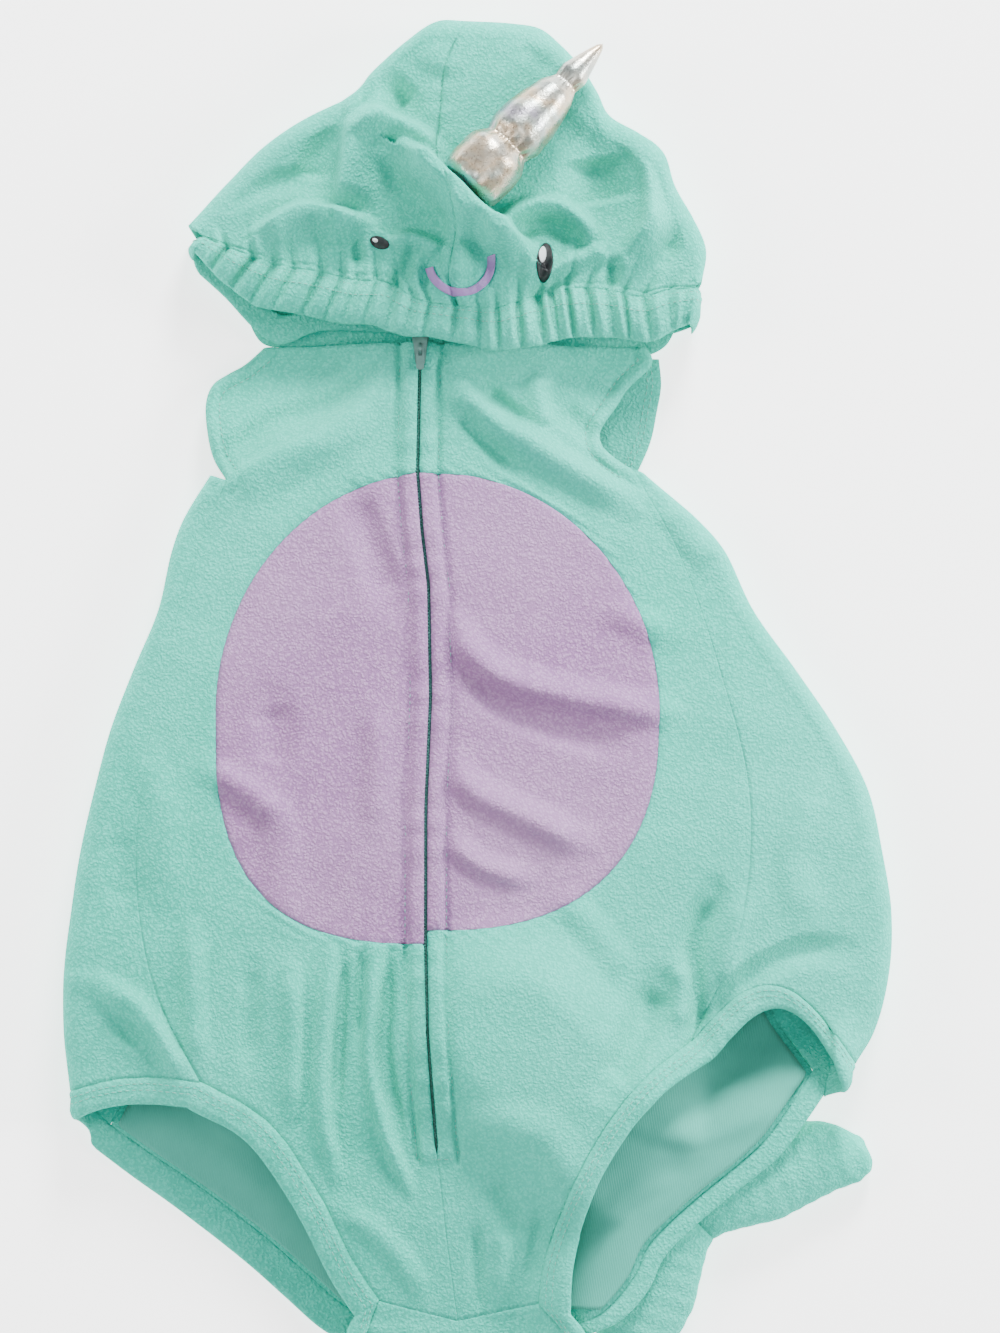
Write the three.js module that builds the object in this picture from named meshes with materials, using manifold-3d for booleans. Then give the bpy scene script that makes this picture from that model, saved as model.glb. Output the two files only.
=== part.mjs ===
import * as THREE from 'three';
import Module from 'manifold-3d';

// Baby's fleece narwhal costume, laid flat and face up. Millimetres, +Z up, +Y toward the hood.
// "Right" and "left" are the wearer's, so the right half lies on the -X side.

const WALL = 2.0;          // fleece, one layer
const LINING_WALL = 1.3;
const SEAM_GAP = 0.3;      // between two pieces along a seam
const SLIT_HALF = 0.9;     // half the open slit over the zip
const ZIP_TOP = 163;
const ZIP_END = -200;
const CROTCH_Y = -275;
const TAPE_HALF = 7.5;
const TAPE_DROP = 1.5;
const FREE_LAYER = 4.6;    // height of the front sheet where it is sewn onto the back at a shoulder

const AQUA = '#8cdecf';
const LILAC = '#cdb4d7';

// plan lines, from the zip and the outline of the laid garment

const ZIP_LINE = [
  { y: 163, x: -26 }, { y: 103, x: -27 }, { y: 77, x: -25 }, { y: 52, x: -22 }, { y: 2, x: -21 },
  { y: -48, x: -23 }, { y: -107, x: -23 }, { y: -148, x: -22 }, { y: -200, x: -18 },
  { y: -237, x: -14 }, { y: -275, x: -9 },
];

const BELLY = { x: -19, y: -4, right: 98, left: 100, rise: 107, dropRight: 104, dropLeft: 98 };
const BELLY_ROUND = { top: 2.0, bottomRight: 2.9, bottomLeft: 2.5 };

const SIDES = {
  right: {
    armhole: [[-97, 162], [-106, 154], [-113, 150], [-120, 145], [-123, 137], [-122, 122], [-119, 110],
      [-113, 100]],
    seam: [[-113, 100], [-127, 65], [-139, 24], [-148, -25], [-152, -79], [-143, -129], [-123, -169]],
    leg: [[-123, -169], [-94, -186], [-72, -216], [-54, -251], [-44, -266]],
    outline: [[-121, 103], [-133, 83], [-138, 69], [-144, 42], [-155, 15], [-165, -12], [-172, -39],
      [-178, -66], [-182, -93], [-185, -120], [-185, -147], [-182, -173]],
    under: [[-110, 101], [-105, 60], [-112, 0], [-125, -60], [-135, -110], [-150, -160], [-165, -189]],
    backArmhole: [[-97, 162], [-104, 152], [-112, 140], [-114, 120], [-110, 101]],
    backLeg: [[-165, -189], [-148, -201], [-130, -213], [-112, -226], [-93, -241], [-77, -255],
      [-62, -268], [-50, -275]],
    endArch: 4,
  },
  left: {
    armhole: [[77, 162], [79, 155], [68, 143], [63, 135], [55, 122], [56, 116], [62, 110], [70, 105]],
    seam: [[70, 105], [91, 65], [109, 11], [121, -43], [116, -102], [95, -151]],
    leg: [[95, -151], [72, -169], [50, -199], [36, -229], [29, -250], [27, -267]],
    outline: [[75, 104], [99, 83], [111, 69], [124, 42], [143, 15], [161, -12], [175, -39], [181, -66],
      [185, -93], [184, -120], [177, -147], [168, -161]],
    under: [[70, 101], [80, 60], [100, 0], [118, -60], [127, -128], [150, -165]],
    backArmhole: [[82, 157], [83, 145], [81, 133], [78, 119], [70, 101]],
    backLeg: [[150, -165], [140, -179], [129, -194], [117, -205], [102, -217], [86, -231], [76, -242],
      [70, -255], [57, -270], [44, -277]],
    endArch: 30,
  },
};

// Leg bands: share of the way round from the front crotch, band width, and plan heading in degrees.
const LEG_BANDS = {
  right: [
    { share: 0.00, width: 13, heading: 212 }, { share: 0.08, width: 12.5, heading: 209 },
    { share: 0.17, width: 13, heading: 212 }, { share: 0.28, width: 13, heading: 247 },
    { share: 0.38, width: 12, heading: 268 }, { share: 0.50, width: 14, heading: 280 },
    { share: 0.58, width: 12, heading: 240 }, { share: 0.70, width: 13.6, heading: 236 },
    { share: 0.85, width: 14, heading: 231 }, { share: 0.93, width: 13.5, heading: 224 },
    { share: 1.00, width: 13, heading: 212 },
  ],
  left: [
    { share: 0.00, width: 14, heading: -16 }, { share: 0.08, width: 10, heading: -8 },
    { share: 0.17, width: 10, heading: -22 }, { share: 0.28, width: 12, heading: -52 },
    { share: 0.38, width: 11, heading: -84 }, { share: 0.46, width: 14, heading: -112 },
    { share: 0.52, width: 13, heading: -104 }, { share: 0.60, width: 10, heading: -55 },
    { share: 0.70, width: 8.5, heading: -44 }, { share: 0.82, width: 8, heading: -38 },
    { share: 0.93, width: 8, heading: -46 }, { share: 1.00, width: 14, heading: -16 },
  ],
};

// Band cross-section: a turned hem, along its width and out of the cloth.
const BAND_SECTION = [
  { along: 0, out: 0 }, { along: 0.5, out: 0.6 }, { along: 0.93, out: 0.1 }, { along: 1, out: -1.6 },
  { along: 0.9, out: -3.2 }, { along: 0, out: -2.6 },
];

// heights of the laid cloth

const BODY_LOFT = [
  { y: -275, rise: 15 }, { y: -230, rise: 25 }, { y: -180, rise: 30 }, { y: -120, rise: 32 },
  { y: -60, rise: 32 }, { y: 0, rise: 28 }, { y: 60, rise: 24 }, { y: 120, rise: 20 }, { y: 165, rise: 14 },
];

// Tail parts under the garment lift it: capsule ends, radius of the level top.
const TAIL_LIFT = { rise: 17.6, reach: 38 };
const TAIL_CAPSULES = [
  { from: [15, -149], to: [105, -239], radius: 21 },
  { from: [97, -231], to: [150, -203], radius: 24 },
  { from: [97, -231], to: [72, -268], radius: 22 },
];

// Folds: ridge (rise > 0) or valley (rise < 0) along a path, with its width each side.
const BODY_FOLDS = [
  { path: [[-108, 117], [-93, 128], [-74, 133], [-54, 146]], rise: -3, width: 10 },
  { path: [[-105, 106], [-88, 116], [-66, 122]], rise: 2.5, width: 12 },
  { path: [[-11, 148], [-3, 136], [8, 126], [33, 111], [68, 91]], rise: 5, width: 11 },
  { path: [[-7, 131], [4, 118], [16, 106]], rise: -2.5, width: 9 },
  { path: [[29, 147], [28, 139], [30, 125]], rise: 2.5, width: 9 },
  { path: [[38, 132], [54, 118]], rise: -2.5, width: 10 },
  { path: [[-54, 90], [-37, 48]], rise: -2.5, width: 12 },
  { path: [[-92, -6], [-92, -24]], rise: -2.5, width: 17 },
  { path: [[-115, -31], [-90, -49]], rise: 3, width: 10 },
  { path: [[-45, -8], [-45, -52]], rise: 2, width: 10 },
  { path: [[-12, 31], [13, 9], [47, 0], [79, -5]], rise: 4, width: 11 },
  { path: [[-12, -31], [15, -49], [45, -64]], rise: 3, width: 11 },
  { path: [[-12, -65], [15, -79]], rise: 2, width: 10 },
  { path: [[-126, -103], [-126, -160]], rise: 2.5, width: 10 },
  { path: [[-82, -122], [-82, -178]], rise: 2.5, width: 9 },
  { path: [[-64, -118], [-68, -183], [-63, -209]], rise: 3, width: 8 },
  { path: [[-45, -113], [-48, -157], [-39, -196], [-30, -216]], rise: 3, width: 8 },
  { path: [[-166, -127], [-150, -136], [-137, -155], [-130, -168]], rise: 4, width: 11 },
  { path: [[80, -127], [59, -168]], rise: -4, width: 14 },
  { path: [[90, -119], [91, -143]], rise: 4, width: 10 },
  { path: [[104, -88], [96, -126], [98, -148]], rise: -4, width: 12 },
  { path: [[109, -133], [124, -121], [144, -112], [160, -111]], rise: -3, width: 12 },
  { path: [[-8, -192], [30, -192], [36, -214]], rise: 2.5, width: 12 },
];

const HOOD_BASE = { rise: 25, crest: 6, crestX: -8, crestWidth: 48 };
const HOOD_FOLDS = [
  { path: [[-50, 283], [-54, 269], [-57, 252], [-60, 231], [-62, 223]], rise: 6, width: 11 },
  { path: [[-70, 268], [-72, 250], [-74, 234]], rise: -6, width: 14 },
  { path: [[-57, 266], [-44, 262], [-32, 257], [-22, 250], [-18, 241]], rise: 6, width: 10 },
  { path: [[-36, 276], [-34, 268]], rise: -5, width: 11 },
  { path: [[-31, 243], [-20, 234], [-10, 223], [-3, 215], [7, 208], [18, 200]], rise: 17, width: 15 },
  { path: [[-10, 227], [-9, 211], [-10, 198], [-13, 189]], rise: 7, width: 12 },
  { path: [[-96, 211], [-79, 218], [-64, 214], [-50, 210]], rise: 5, width: 16 },
  { path: [[-38, 204], [-31, 207], [-17, 202]], rise: 4, width: 8 },
  { path: [[-28, 200], [-38, 190]], rise: -3, width: 8 },
  { path: [[7, 210], [16, 217], [27, 221], [38, 221], [50, 213], [54, 207]], rise: 4, width: 10 },
  { path: [[55, 240], [56, 222]], rise: -6, width: 20 },
  { path: [[54, 277], [59, 267], [75, 248], [80, 231], [76, 213], [66, 200]], rise: 8, width: 12 },
  { path: [[88, 222], [82, 204], [80, 194]], rise: -4, width: 10 },
];

const HOOD = {
  centreSeam: [[-9, 177], [-13, 189], [-10, 210], [-14, 230], [-18, 245], [-17, 267], [-15, 285], [-5, 309]],
  right: {
    casing: [[-9, 177], [-27, 180], [-40, 188], [-54, 189], [-71, 193], [-89, 196], [-107, 202], [-123, 209]],
    outline: [[-5, 309], [-18, 309], [-31, 301], [-48, 286], [-56, 276], [-75, 267], [-96, 253], [-113, 236],
      [-131, 216]],
    neck: [[-9, 160.2], [-35, 160.9], [-62, 161.7], [-86, 162.4], [-98, 164.5], [-106, 178], [-114, 192],
      [-123, 205]],
  },
  left: {
    casing: [[-9, 177], [8, 176], [20, 180], [37, 185], [58, 185], [73, 182], [85, 185], [97, 186]],
    outline: [[-5, 309], [16, 308], [28, 306], [38, 298], [47, 288], [54, 277], [59, 267], [73, 258],
      [84, 249], [89, 234], [97, 220], [103, 205], [101, 190]],
    neck: [[-9, 160.2], [14, 159.6], [38, 158.9], [60, 158.4], [76, 158.6], [85, 163], [91, 174], [96, 183]],
  },
};

// Casing: share round the face opening from the right corner, plan heading and width of the band.
const CASING_UPPER = [
  { share: 0.00, width: 8, heading: 236 }, { share: 0.07, width: 15, heading: 234 },
  { share: 0.15, width: 21, heading: 240 }, { share: 0.38, width: 20, heading: 256 },
  { share: 0.45, width: 15, heading: 259 }, { share: 0.53, width: 17, heading: 269 },
  { share: 0.66, width: 22, heading: 276 }, { share: 0.78, width: 22, heading: 279 },
  { share: 0.92, width: 20, heading: 281 }, { share: 1.00, width: 20, heading: 264 },
];
const CASING_LOWER = {
  seam: [[99, 184], [90, 181], [60, 182], [20, 181], [-30, 181], [-70, 182], [-88, 176], [-100, 184],
    [-112, 197], [-124, 208]],
  width: 13, heading: 262,
};
const GATHERS = { count: 24, depth: 1.9, split: 4, lower: 20, corner: 5, lowerZ: 3.6 };

const HORN = {
  base: [-4, 230, 43], tip: [56, 295, 34],
  profile: [
    { at: 0, radius: 0 }, { at: 1, radius: 7 }, { at: 4, radius: 11.5 }, { at: 9, radius: 15 },
    { at: 15, radius: 15.5 }, { at: 19, radius: 14.6 }, { at: 23, radius: 12.6 }, { at: 26, radius: 12.4 },
    { at: 31, radius: 13.3 }, { at: 40, radius: 12.6 }, { at: 50, radius: 10.7 }, { at: 58, radius: 8.8 },
    { at: 62, radius: 7.0 }, { at: 65, radius: 6.6 }, { at: 69, radius: 6.6 }, { at: 78, radius: 4.4 },
    { at: 84, radius: 2.6 }, { at: 88, radius: 1.4 }, { at: 89, radius: 0 },
  ],
  sides: 22,
};

const EYES = {
  left: { at: [30, 197], width: 7.5, height: 18, tilt: -4 },
  right: { at: [-44, 203], width: 7.5, height: 14, tilt: 34 },
};
const SMILE = { at: [-8, 197], radius: 14, stroke: 3.2, from: 203, to: 352 };
const PATCH = { lift: 0.7, rise: 0.9 };

const TAIL = {
  notch: [105, -239], turn: -45,
  stem: { from: -124, to: -45, halfWidth: 15, height: 17.2 },
  lobe: [
    { across: 0.2, lead: -44.6, trail: 0, height: 16.5 }, { across: 6, lead: -44.4, trail: 2, height: 17 },
    { across: 16, lead: -42, trail: 8, height: 17 }, { across: 27, lead: -36, trail: 15, height: 16.5 },
    { across: 43, lead: -26, trail: 20, height: 16 }, { across: 55, lead: -17, trail: 24, height: 15 },
    { across: 64, lead: -10, trail: 28.5, height: 14 }, { across: 71, lead: -3, trail: 29, height: 12 },
    { across: 76, lead: 5, trail: 26, height: 9 }, { across: 78, lead: 11, trail: 21, height: 5 },
  ],
};

const SLIDER = { y: 153, length: 12, width: 7.6, endWidth: 4.6, plate: 1.6, stem: 1.2, stemDepth: 2.2 };
const TAB = { pivotY: 159.5, length: 9.6, width: 3.6, thick: 1.2, slotWidth: 1.8, slot: [0.85, 3.4] };
const BAIL = { inner: 1.55, outer: 2.7, width: 1.0, rise: 1.0 };

// small helpers

const clamp01 = (v) => Math.min(1, Math.max(0, v));
const smooth = (v) => { const t = clamp01(v); return t * t * (3 - 2 * t); };
const mix = (a, b, t) => a + (b - a) * t;
const radians = (degrees) => degrees * Math.PI / 180;
const mixPoint = (a, b, t) => [mix(a[0], b[0], t), mix(a[1], b[1], t)];

/** Value of a table column at a key, eased between rows. */
function tableAt(table, key, value, at) {
  const rows = table[0][key] < table[table.length - 1][key] ? table : [...table].reverse();
  if (at <= rows[0][key]) return rows[0][value];
  for (let i = 1; i < rows.length; i += 1) {
    if (at <= rows[i][key]) {
      const t = (at - rows[i - 1][key]) / (rows[i][key] - rows[i - 1][key]);
      return mix(rows[i - 1][value], rows[i][value], t);
    }
  }
  return rows[rows.length - 1][value];
}

/** Evenly spaced points on a smooth plan curve through the given points. */
function spaced(points, count) {
  const curve = new THREE.CatmullRomCurve3(
    points.map(([x, y]) => new THREE.Vector3(x, y, 0)), false, 'centripetal');
  return curve.getSpacedPoints(count).map((p) => [p.x, p.y]);
}

function distanceToSegment(x, y, a, b) {
  const dx = b[0] - a[0];
  const dy = b[1] - a[1];
  const t = clamp01(((x - a[0]) * dx + (y - a[1]) * dy) / (dx * dx + dy * dy));
  return { distance: Math.hypot(x - a[0] - t * dx, y - a[1] - t * dy), t };
}

/** Height added by one fold at a plan point: a bell across its path, tapering past both ends. */
function foldHeight(fold, x, y) {
  let near = Infinity;
  for (let i = 1; i < fold.path.length; i += 1) {
    near = Math.min(near, distanceToSegment(x, y, fold.path[i - 1], fold.path[i]).distance);
  }
  const t = clamp01(1 - near / fold.width);
  return fold.rise * t * t * (3 - 2 * t);
}

const foldsAt = (folds, x, y) => folds.reduce((sum, fold) => sum + foldHeight(fold, x, y), 0);

// height functions

const zipX = (y) => tableAt(ZIP_LINE, 'y', 'x', y);
const outlineLeftX = (y) => tableAt(SIDES.left.outline.map(([px, py]) => ({ y: py, x: px })), 'y', 'x', y);
const outlineRightX = (y) => tableAt(SIDES.right.outline.map(([px, py]) => ({ y: py, x: px })), 'y', 'x', y);

/** Underside of the back cloth: zero, lifted where the tail lies under it. */
function underside(x, y) {
  let lift = 0;
  for (const capsule of TAIL_CAPSULES) {
    const gap = distanceToSegment(x, y, capsule.from, capsule.to).distance - capsule.radius;
    lift = Math.max(lift, smooth(1 - gap / TAIL_LIFT.reach));
  }
  return TAIL_LIFT.rise * lift;
}

/** Top side of the front cloth. */
function bodyTop(x, y) {
  const middle = (outlineLeftX(y) + outlineRightX(y)) / 2;
  const half = (outlineLeftX(y) - outlineRightX(y)) / 2;
  const across = Math.min(1, Math.abs(x - middle) / half);
  let z = tableAt(BODY_LOFT, 'y', 'rise', y) * (1 - 0.3 * across ** 3);
  z += 0.85 * underside(x, y) + foldsAt(BODY_FOLDS, x, y) * smooth((Math.abs(x - zipX(y)) - 7) / 12);
  const shoulder = smooth((y - 112) / 48) * smooth((Math.abs(x + 10) - 30) / 42);
  return mix(z, FREE_LAYER, shoulder);
}

const hornAxis = (() => {
  const start = new THREE.Vector3(...HORN.base);
  const end = new THREE.Vector3(...HORN.tip);
  const plan = Math.hypot(end.x - start.x, end.y - start.y);
  return { start, end, plan, dx: (end.x - start.x) / plan, dy: (end.y - start.y) / plan };
})();

/** Highest the hood may stand at a plan point so that the horn lies clear on it. */
function hornFloor(x, y) {
  const along = (x - hornAxis.start.x) * hornAxis.dx + (y - hornAxis.start.y) * hornAxis.dy;
  const across = Math.abs((y - hornAxis.start.y) * hornAxis.dx - (x - hornAxis.start.x) * hornAxis.dy);
  if (along < -6 || along > hornAxis.plan + 4) return Infinity;
  const reach = tableAt(HORN.profile, 'at', 'radius', Math.max(3, along)) + 5;
  const radius = along < 0 ? reach * Math.sqrt(1 - (along / 6) ** 2) : reach;
  if (across >= radius) return Infinity;
  const axisZ = mix(HORN.base[2], HORN.tip[2], clamp01(along / hornAxis.plan));
  return axisZ - Math.sqrt(radius * radius - across * across) + 1.6;
}

/** Top side of the hood. */
function hoodTop(x, y) {
  const crest = Math.exp(-(((x - HOOD_BASE.crestX) / HOOD_BASE.crestWidth) ** 2));
  const z = HOOD_BASE.rise + HOOD_BASE.crest * crest + foldsAt(HOOD_FOLDS, x, y);
  return Math.max(8, Math.min(z, hornFloor(x, y)));
}

// closed solids from point grids

const UP = new THREE.Vector3(0, 0, 1);
const DOWN = new THREE.Vector3(0, 0, -1);

function finish(points, faces) {
  let volume = 0;
  for (const [a, b, c] of faces) volume += points[a].dot(new THREE.Vector3().crossVectors(points[b], points[c]));
  const geometry = new THREE.BufferGeometry();
  geometry.setAttribute('position', new THREE.Float32BufferAttribute(points.flatMap((p) => p.toArray()), 3));
  geometry.setIndex(faces.flatMap(([a, b, c]) => (volume > 0 ? [a, b, c] : [a, c, b])));
  geometry.computeVertexNormals();
  return geometry;
}

/** Moves an edge of the grid into the sheet by half a seam gap. */
function pullEdge(grid, edge, amount) {
  const rows = grid.length;
  const columns = grid[0].length;
  const cell = {
    top: (k) => [[0, k], [1, k]], bottom: (k) => [[rows - 1, k], [rows - 2, k]],
    first: (k) => [[k, 0], [k, 1]], last: (k) => [[k, columns - 1], [k, columns - 2]],
  }[edge];
  const count = edge === 'top' || edge === 'bottom' ? columns : rows;
  const read = ([r, c]) => grid[r][c].p;
  const edgePoints = Array.from({ length: count }, (_, k) => read(cell(k)[0]).clone());
  const innerPoints = Array.from({ length: count }, (_, k) => read(cell(k)[1]).clone());
  for (let k = 0; k < count; k += 1) {
    const before = edgePoints[Math.max(0, k - 1)];
    const after = edgePoints[Math.min(count - 1, k + 1)];
    const tangent = after.clone().sub(before).normalize();
    const inward = innerPoints[k].clone().sub(edgePoints[k]);
    inward.addScaledVector(tangent, -inward.dot(tangent));
    const [r, c] = cell(k)[0];
    if (inward.length() > 1e-6) grid[r][c].p = edgePoints[k].clone().addScaledVector(inward.normalize(), amount);
  }
}

/** Sheet of cloth: a grid of outer points with outward directions, closed by an inner layer. */
function sheet(grid, wall, seams = ['top', 'bottom', 'first', 'last']) {
  for (const edge of seams) pullEdge(grid, edge, SEAM_GAP / 2);
  const rows = grid.length;
  const columns = grid[0].length;
  const points = [];
  for (const side of [0, 1]) {
    for (const row of grid) {
      for (const { p, n } of row) points.push(p.clone().addScaledVector(n, side ? -wall : 0));
    }
  }
  const id = (side, r, c) => side * rows * columns + r * columns + c;
  const faces = [];
  const quad = (a, b, c, d) => faces.push([a, b, c], [a, c, d]);
  for (let r = 0; r + 1 < rows; r += 1) {
    for (let c = 0; c + 1 < columns; c += 1) {
      quad(id(0, r, c), id(0, r + 1, c), id(0, r + 1, c + 1), id(0, r, c + 1));
      quad(id(1, r, c), id(1, r, c + 1), id(1, r + 1, c + 1), id(1, r + 1, c));
    }
  }
  for (let r = 0; r + 1 < rows; r += 1) {
    quad(id(0, r, 0), id(1, r, 0), id(1, r + 1, 0), id(0, r + 1, 0));
    quad(id(0, r + 1, columns - 1), id(1, r + 1, columns - 1), id(1, r, columns - 1), id(0, r, columns - 1));
  }
  for (let c = 0; c + 1 < columns; c += 1) {
    quad(id(0, 0, c + 1), id(1, 0, c + 1), id(1, 0, c), id(0, 0, c));
    quad(id(0, rows - 1, c), id(1, rows - 1, c), id(1, rows - 1, c + 1), id(0, rows - 1, c + 1));
  }
  return finish(points, faces);
}

/** Closed loops of equal length joined into a tube; a ring has no ends, a loft gets end caps. */
function loft(sections, ring = false) {
  const size = sections[0].length;
  const points = sections.flat();
  const faces = [];
  const last = ring ? sections.length : sections.length - 1;
  for (let s = 0; s < last; s += 1) {
    const next = (s + 1) % sections.length;
    for (let k = 0; k < size; k += 1) {
      const m = (k + 1) % size;
      faces.push([s * size + k, s * size + m, next * size + m], [s * size + k, next * size + m, next * size + k]);
    }
  }
  if (!ring) {
    for (let k = 1; k + 1 < size; k += 1) {
      const end = (sections.length - 1) * size;
      faces.push([0, k + 1, k], [end, end + k, end + k + 1]);
    }
  }
  return finish(points, faces);
}

// shared seam lines

const ROWS = { zip: 5, arc: 18, centre: 11, armhole: 6, seam: 18, leg: 10 };
const COLUMNS = { front: 8, belly: 5, back: 9 };
const SIGN = { right: -1, left: 1 };

const slit = (y) => SLIT_HALF * smooth((y - ZIP_END + 2) / 6);
const innerEdge = (side, y) => [zipX(y) + SIGN[side] * slit(y), y];

/** Point of the belly seam, by the angle from straight up. */
function bellySeam(side, degrees) {
  const sine = Math.sin(radians(degrees));
  const cosine = Math.cos(radians(degrees));
  const power = cosine >= 0 ? BELLY_ROUND.top : mix(2, side === 'right' ? BELLY_ROUND.bottomRight
    : BELLY_ROUND.bottomLeft, smooth(-cosine * 4));
  const reach = (Math.abs(sine) ** power + Math.abs(cosine) ** power) ** (-1 / power);
  const drop = side === 'right' ? BELLY.dropRight : BELLY.dropLeft;
  return [BELLY.x + SIGN[side] * reach * sine * (side === 'right' ? BELLY.right : BELLY.left),
    BELLY.y + reach * cosine * (cosine >= 0 ? BELLY.rise : drop)];
}

/** Belly seam stations from the zip, round the belly, to the centre line. */
function bellyStations(side) {
  const top = innerEdge(side, BELLY.y + BELLY.rise);
  const bottom = innerEdge(side, BELLY.y - (side === 'right' ? BELLY.dropRight : BELLY.dropLeft));
  const arc = [];
  for (let k = 0; k <= ROWS.arc - 2; k += 1) {
    const from = side === 'right' ? 12 : 7;
    const to = side === 'right' ? 172 : 174;
    arc.push(bellySeam(side, mix(from, to, k / (ROWS.arc - 2))));
  }
  return [top, ...arc, bottom];
}

function frontInner(side) {
  const belly = bellyStations(side);
  const line = [];
  for (let k = 0; k < ROWS.zip; k += 1) line.push(innerEdge(side, mix(ZIP_TOP, belly[0][1], k / ROWS.zip)));
  line.push(...belly);
  const end = belly[belly.length - 1][1];
  for (let k = 1; k <= ROWS.centre; k += 1) line.push(innerEdge(side, mix(end, CROTCH_Y, k / ROWS.centre)));
  return line;
}

const legStations = (side) => spaced(SIDES[side].leg, ROWS.leg);
const seamStations = (side) => spaced(SIDES[side].seam, ROWS.seam);
const underStations = (side) => spaced(SIDES[side].under, ROWS.seam);

const frontOuter = (side) => [
  ...spaced(SIDES[side].armhole, ROWS.armhole).slice(0, -1),
  ...seamStations(side).slice(0, -1), ...legStations(side)];

const onTop = ([x, y]) => ({ p: new THREE.Vector3(x, y, bodyTop(x, y)), n: UP });
const onBottom = ([x, y]) => ({ p: new THREE.Vector3(x, y, underside(x, y)), n: DOWN });

function ruled(inner, outer, columns, place) {
  return inner.map((start, r) => Array.from({ length: columns + 1 },
    (_, c) => place(mixPoint(start, outer[r], c / columns))));
}

// body

const frontPanel = (side) => sheet(ruled(frontInner(side), frontOuter(side), COLUMNS.front, onTop), WALL);

function bellyPanel(side) {
  const belly = bellyStations(side);
  const seam = belly.slice(1, -1);
  const centre = seam.map((_, k) => innerEdge(side, mix(belly[0][1], belly[belly.length - 1][1],
    k / (seam.length - 1))));
  return sheet(ruled(centre, seam, COLUMNS.belly, onTop), WALL);
}

/** One strip of a wrap: over the top, round the outline, and under, as points with directions. */
function wrapRow(top, edge, under, options) {
  const { topHeight, underHeight, radius, runs, arch = 0 } = options;
  const across = Math.hypot(edge[0] - top[0], edge[1] - top[1]);
  const beneath = Math.hypot(edge[0] - under[0], edge[1] - under[1]);
  const round = Math.min(radius, 0.6 * across, 0.6 * beneath);
  const bend = (point, share) => [point[0], point[1] + arch * Math.sin(Math.PI * share)];
  const row = [];
  const turnTop = mixPoint(edge, top, round / across);
  const turnUnder = mixPoint(edge, under, round / beneath);
  for (let k = 0; k < runs.top; k += 1) {
    const [x, y] = bend(mixPoint(top, turnTop, k / runs.top), (k / runs.top) * (1 - round / across));
    row.push({ p: new THREE.Vector3(x, y, topHeight(x, y)), n: UP, upper: 1 });
  }
  for (let k = 0; k <= runs.round; k += 1) {
    const angle = Math.PI * (k / runs.round);
    const out = Math.sin(angle);
    const upper = (1 + Math.cos(angle)) / 2;
    const start = mixPoint(turnUnder, turnTop, upper);
    const [x, y] = bend(mixPoint(start, edge, out), (1 - (round / across) * (1 - out)) * (upper > 0.5 ? 1 : 0) || 1);
    const high = topHeight(...turnTop);
    const low = underHeight(...turnUnder);
    const away = new THREE.Vector3(edge[0] - start[0], edge[1] - start[1], 0).normalize();
    const n = away.multiplyScalar(out * (high - low) / 2).add(new THREE.Vector3(0, 0, Math.cos(angle) * round));
    row.push({ p: new THREE.Vector3(x, y, mix(low, high, upper)), n: n.normalize(), upper });
  }
  for (let k = 1; k <= runs.under; k += 1) {
    const [x, y] = mixPoint(turnUnder, under, k / runs.under);
    row.push({ p: new THREE.Vector3(x, y, underHeight(x, y)), n: DOWN, upper: 0 });
  }
  return row;
}

const SIDE_RUNS = { top: 3, round: 6, under: 3 };

function sideGrid(side) {
  const top = seamStations(side);
  const edge = spaced(SIDES[side].outline, ROWS.seam);
  const under = underStations(side);
  return top.map((point, r) => wrapRow(point, edge[r], under[r], {
    topHeight: bodyTop, underHeight: underside, radius: 11, runs: SIDE_RUNS,
    arch: SIDES[side].endArch * (r / ROWS.seam) ** 3,
  }));
}

function backGrid() {
  const edge = (side) => [
    ...spaced(SIDES[side].backArmhole, ROWS.armhole).slice(0, -1),
    ...underStations(side).slice(0, -1), ...spaced(SIDES[side].backLeg, ROWS.leg)];
  return ruled(edge('right'), edge('left'), COLUMNS.back, onBottom);
}

const LINING = { firstRow: 17, inset: 3.5, clearance: 1.1, swell: 3 };

/** Lining over the inside of the back, seen through the leg openings. */
function backLining() {
  const rows = backGrid().slice(LINING.firstRow, -1);
  const raised = rows.map((row, r) => row.map(({ p }, c) => {
    const inner = Math.sin((Math.PI * r) / (rows.length - 1)) * Math.sin((Math.PI * c) / (row.length - 1));
    const lift = WALL + LINING.clearance + LINING_WALL + LINING.swell * inner;
    return { p: new THREE.Vector3(p.x, p.y, p.z + lift), n: UP };
  }));
  for (const edge of ['top', 'bottom', 'first', 'last']) pullEdge(raised, edge, LINING.inset);
  return sheet(raised, LINING_WALL, []);
}

const CROTCH = { front: [[-44, -266], [-9, -275], [27, -267]], edge: [[-50, -283], [-6, -286], [42, -284]],
  back: [[-50, -275], [-3, -276], [44, -277]], rows: 8 };

function crotchGrid() {
  const front = [];
  const back = [];
  for (let k = 0; k <= CROTCH.rows; k += 1) {
    const t = (2 * k) / CROTCH.rows;
    const leg = t <= 1 ? 0 : 1;
    front.push(mixPoint(CROTCH.front[leg], CROTCH.front[leg + 1], t - leg));
    back.push(mixPoint(CROTCH.back[0], CROTCH.back[2], k / CROTCH.rows));
  }
  const edge = spaced(CROTCH.edge, CROTCH.rows);
  return front.map((point, r) => wrapRow(point, edge[r], back[r], {
    topHeight: bodyTop, underHeight: underside, radius: 7, runs: { top: 1, round: 5, under: 1 },
  }));
}

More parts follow.
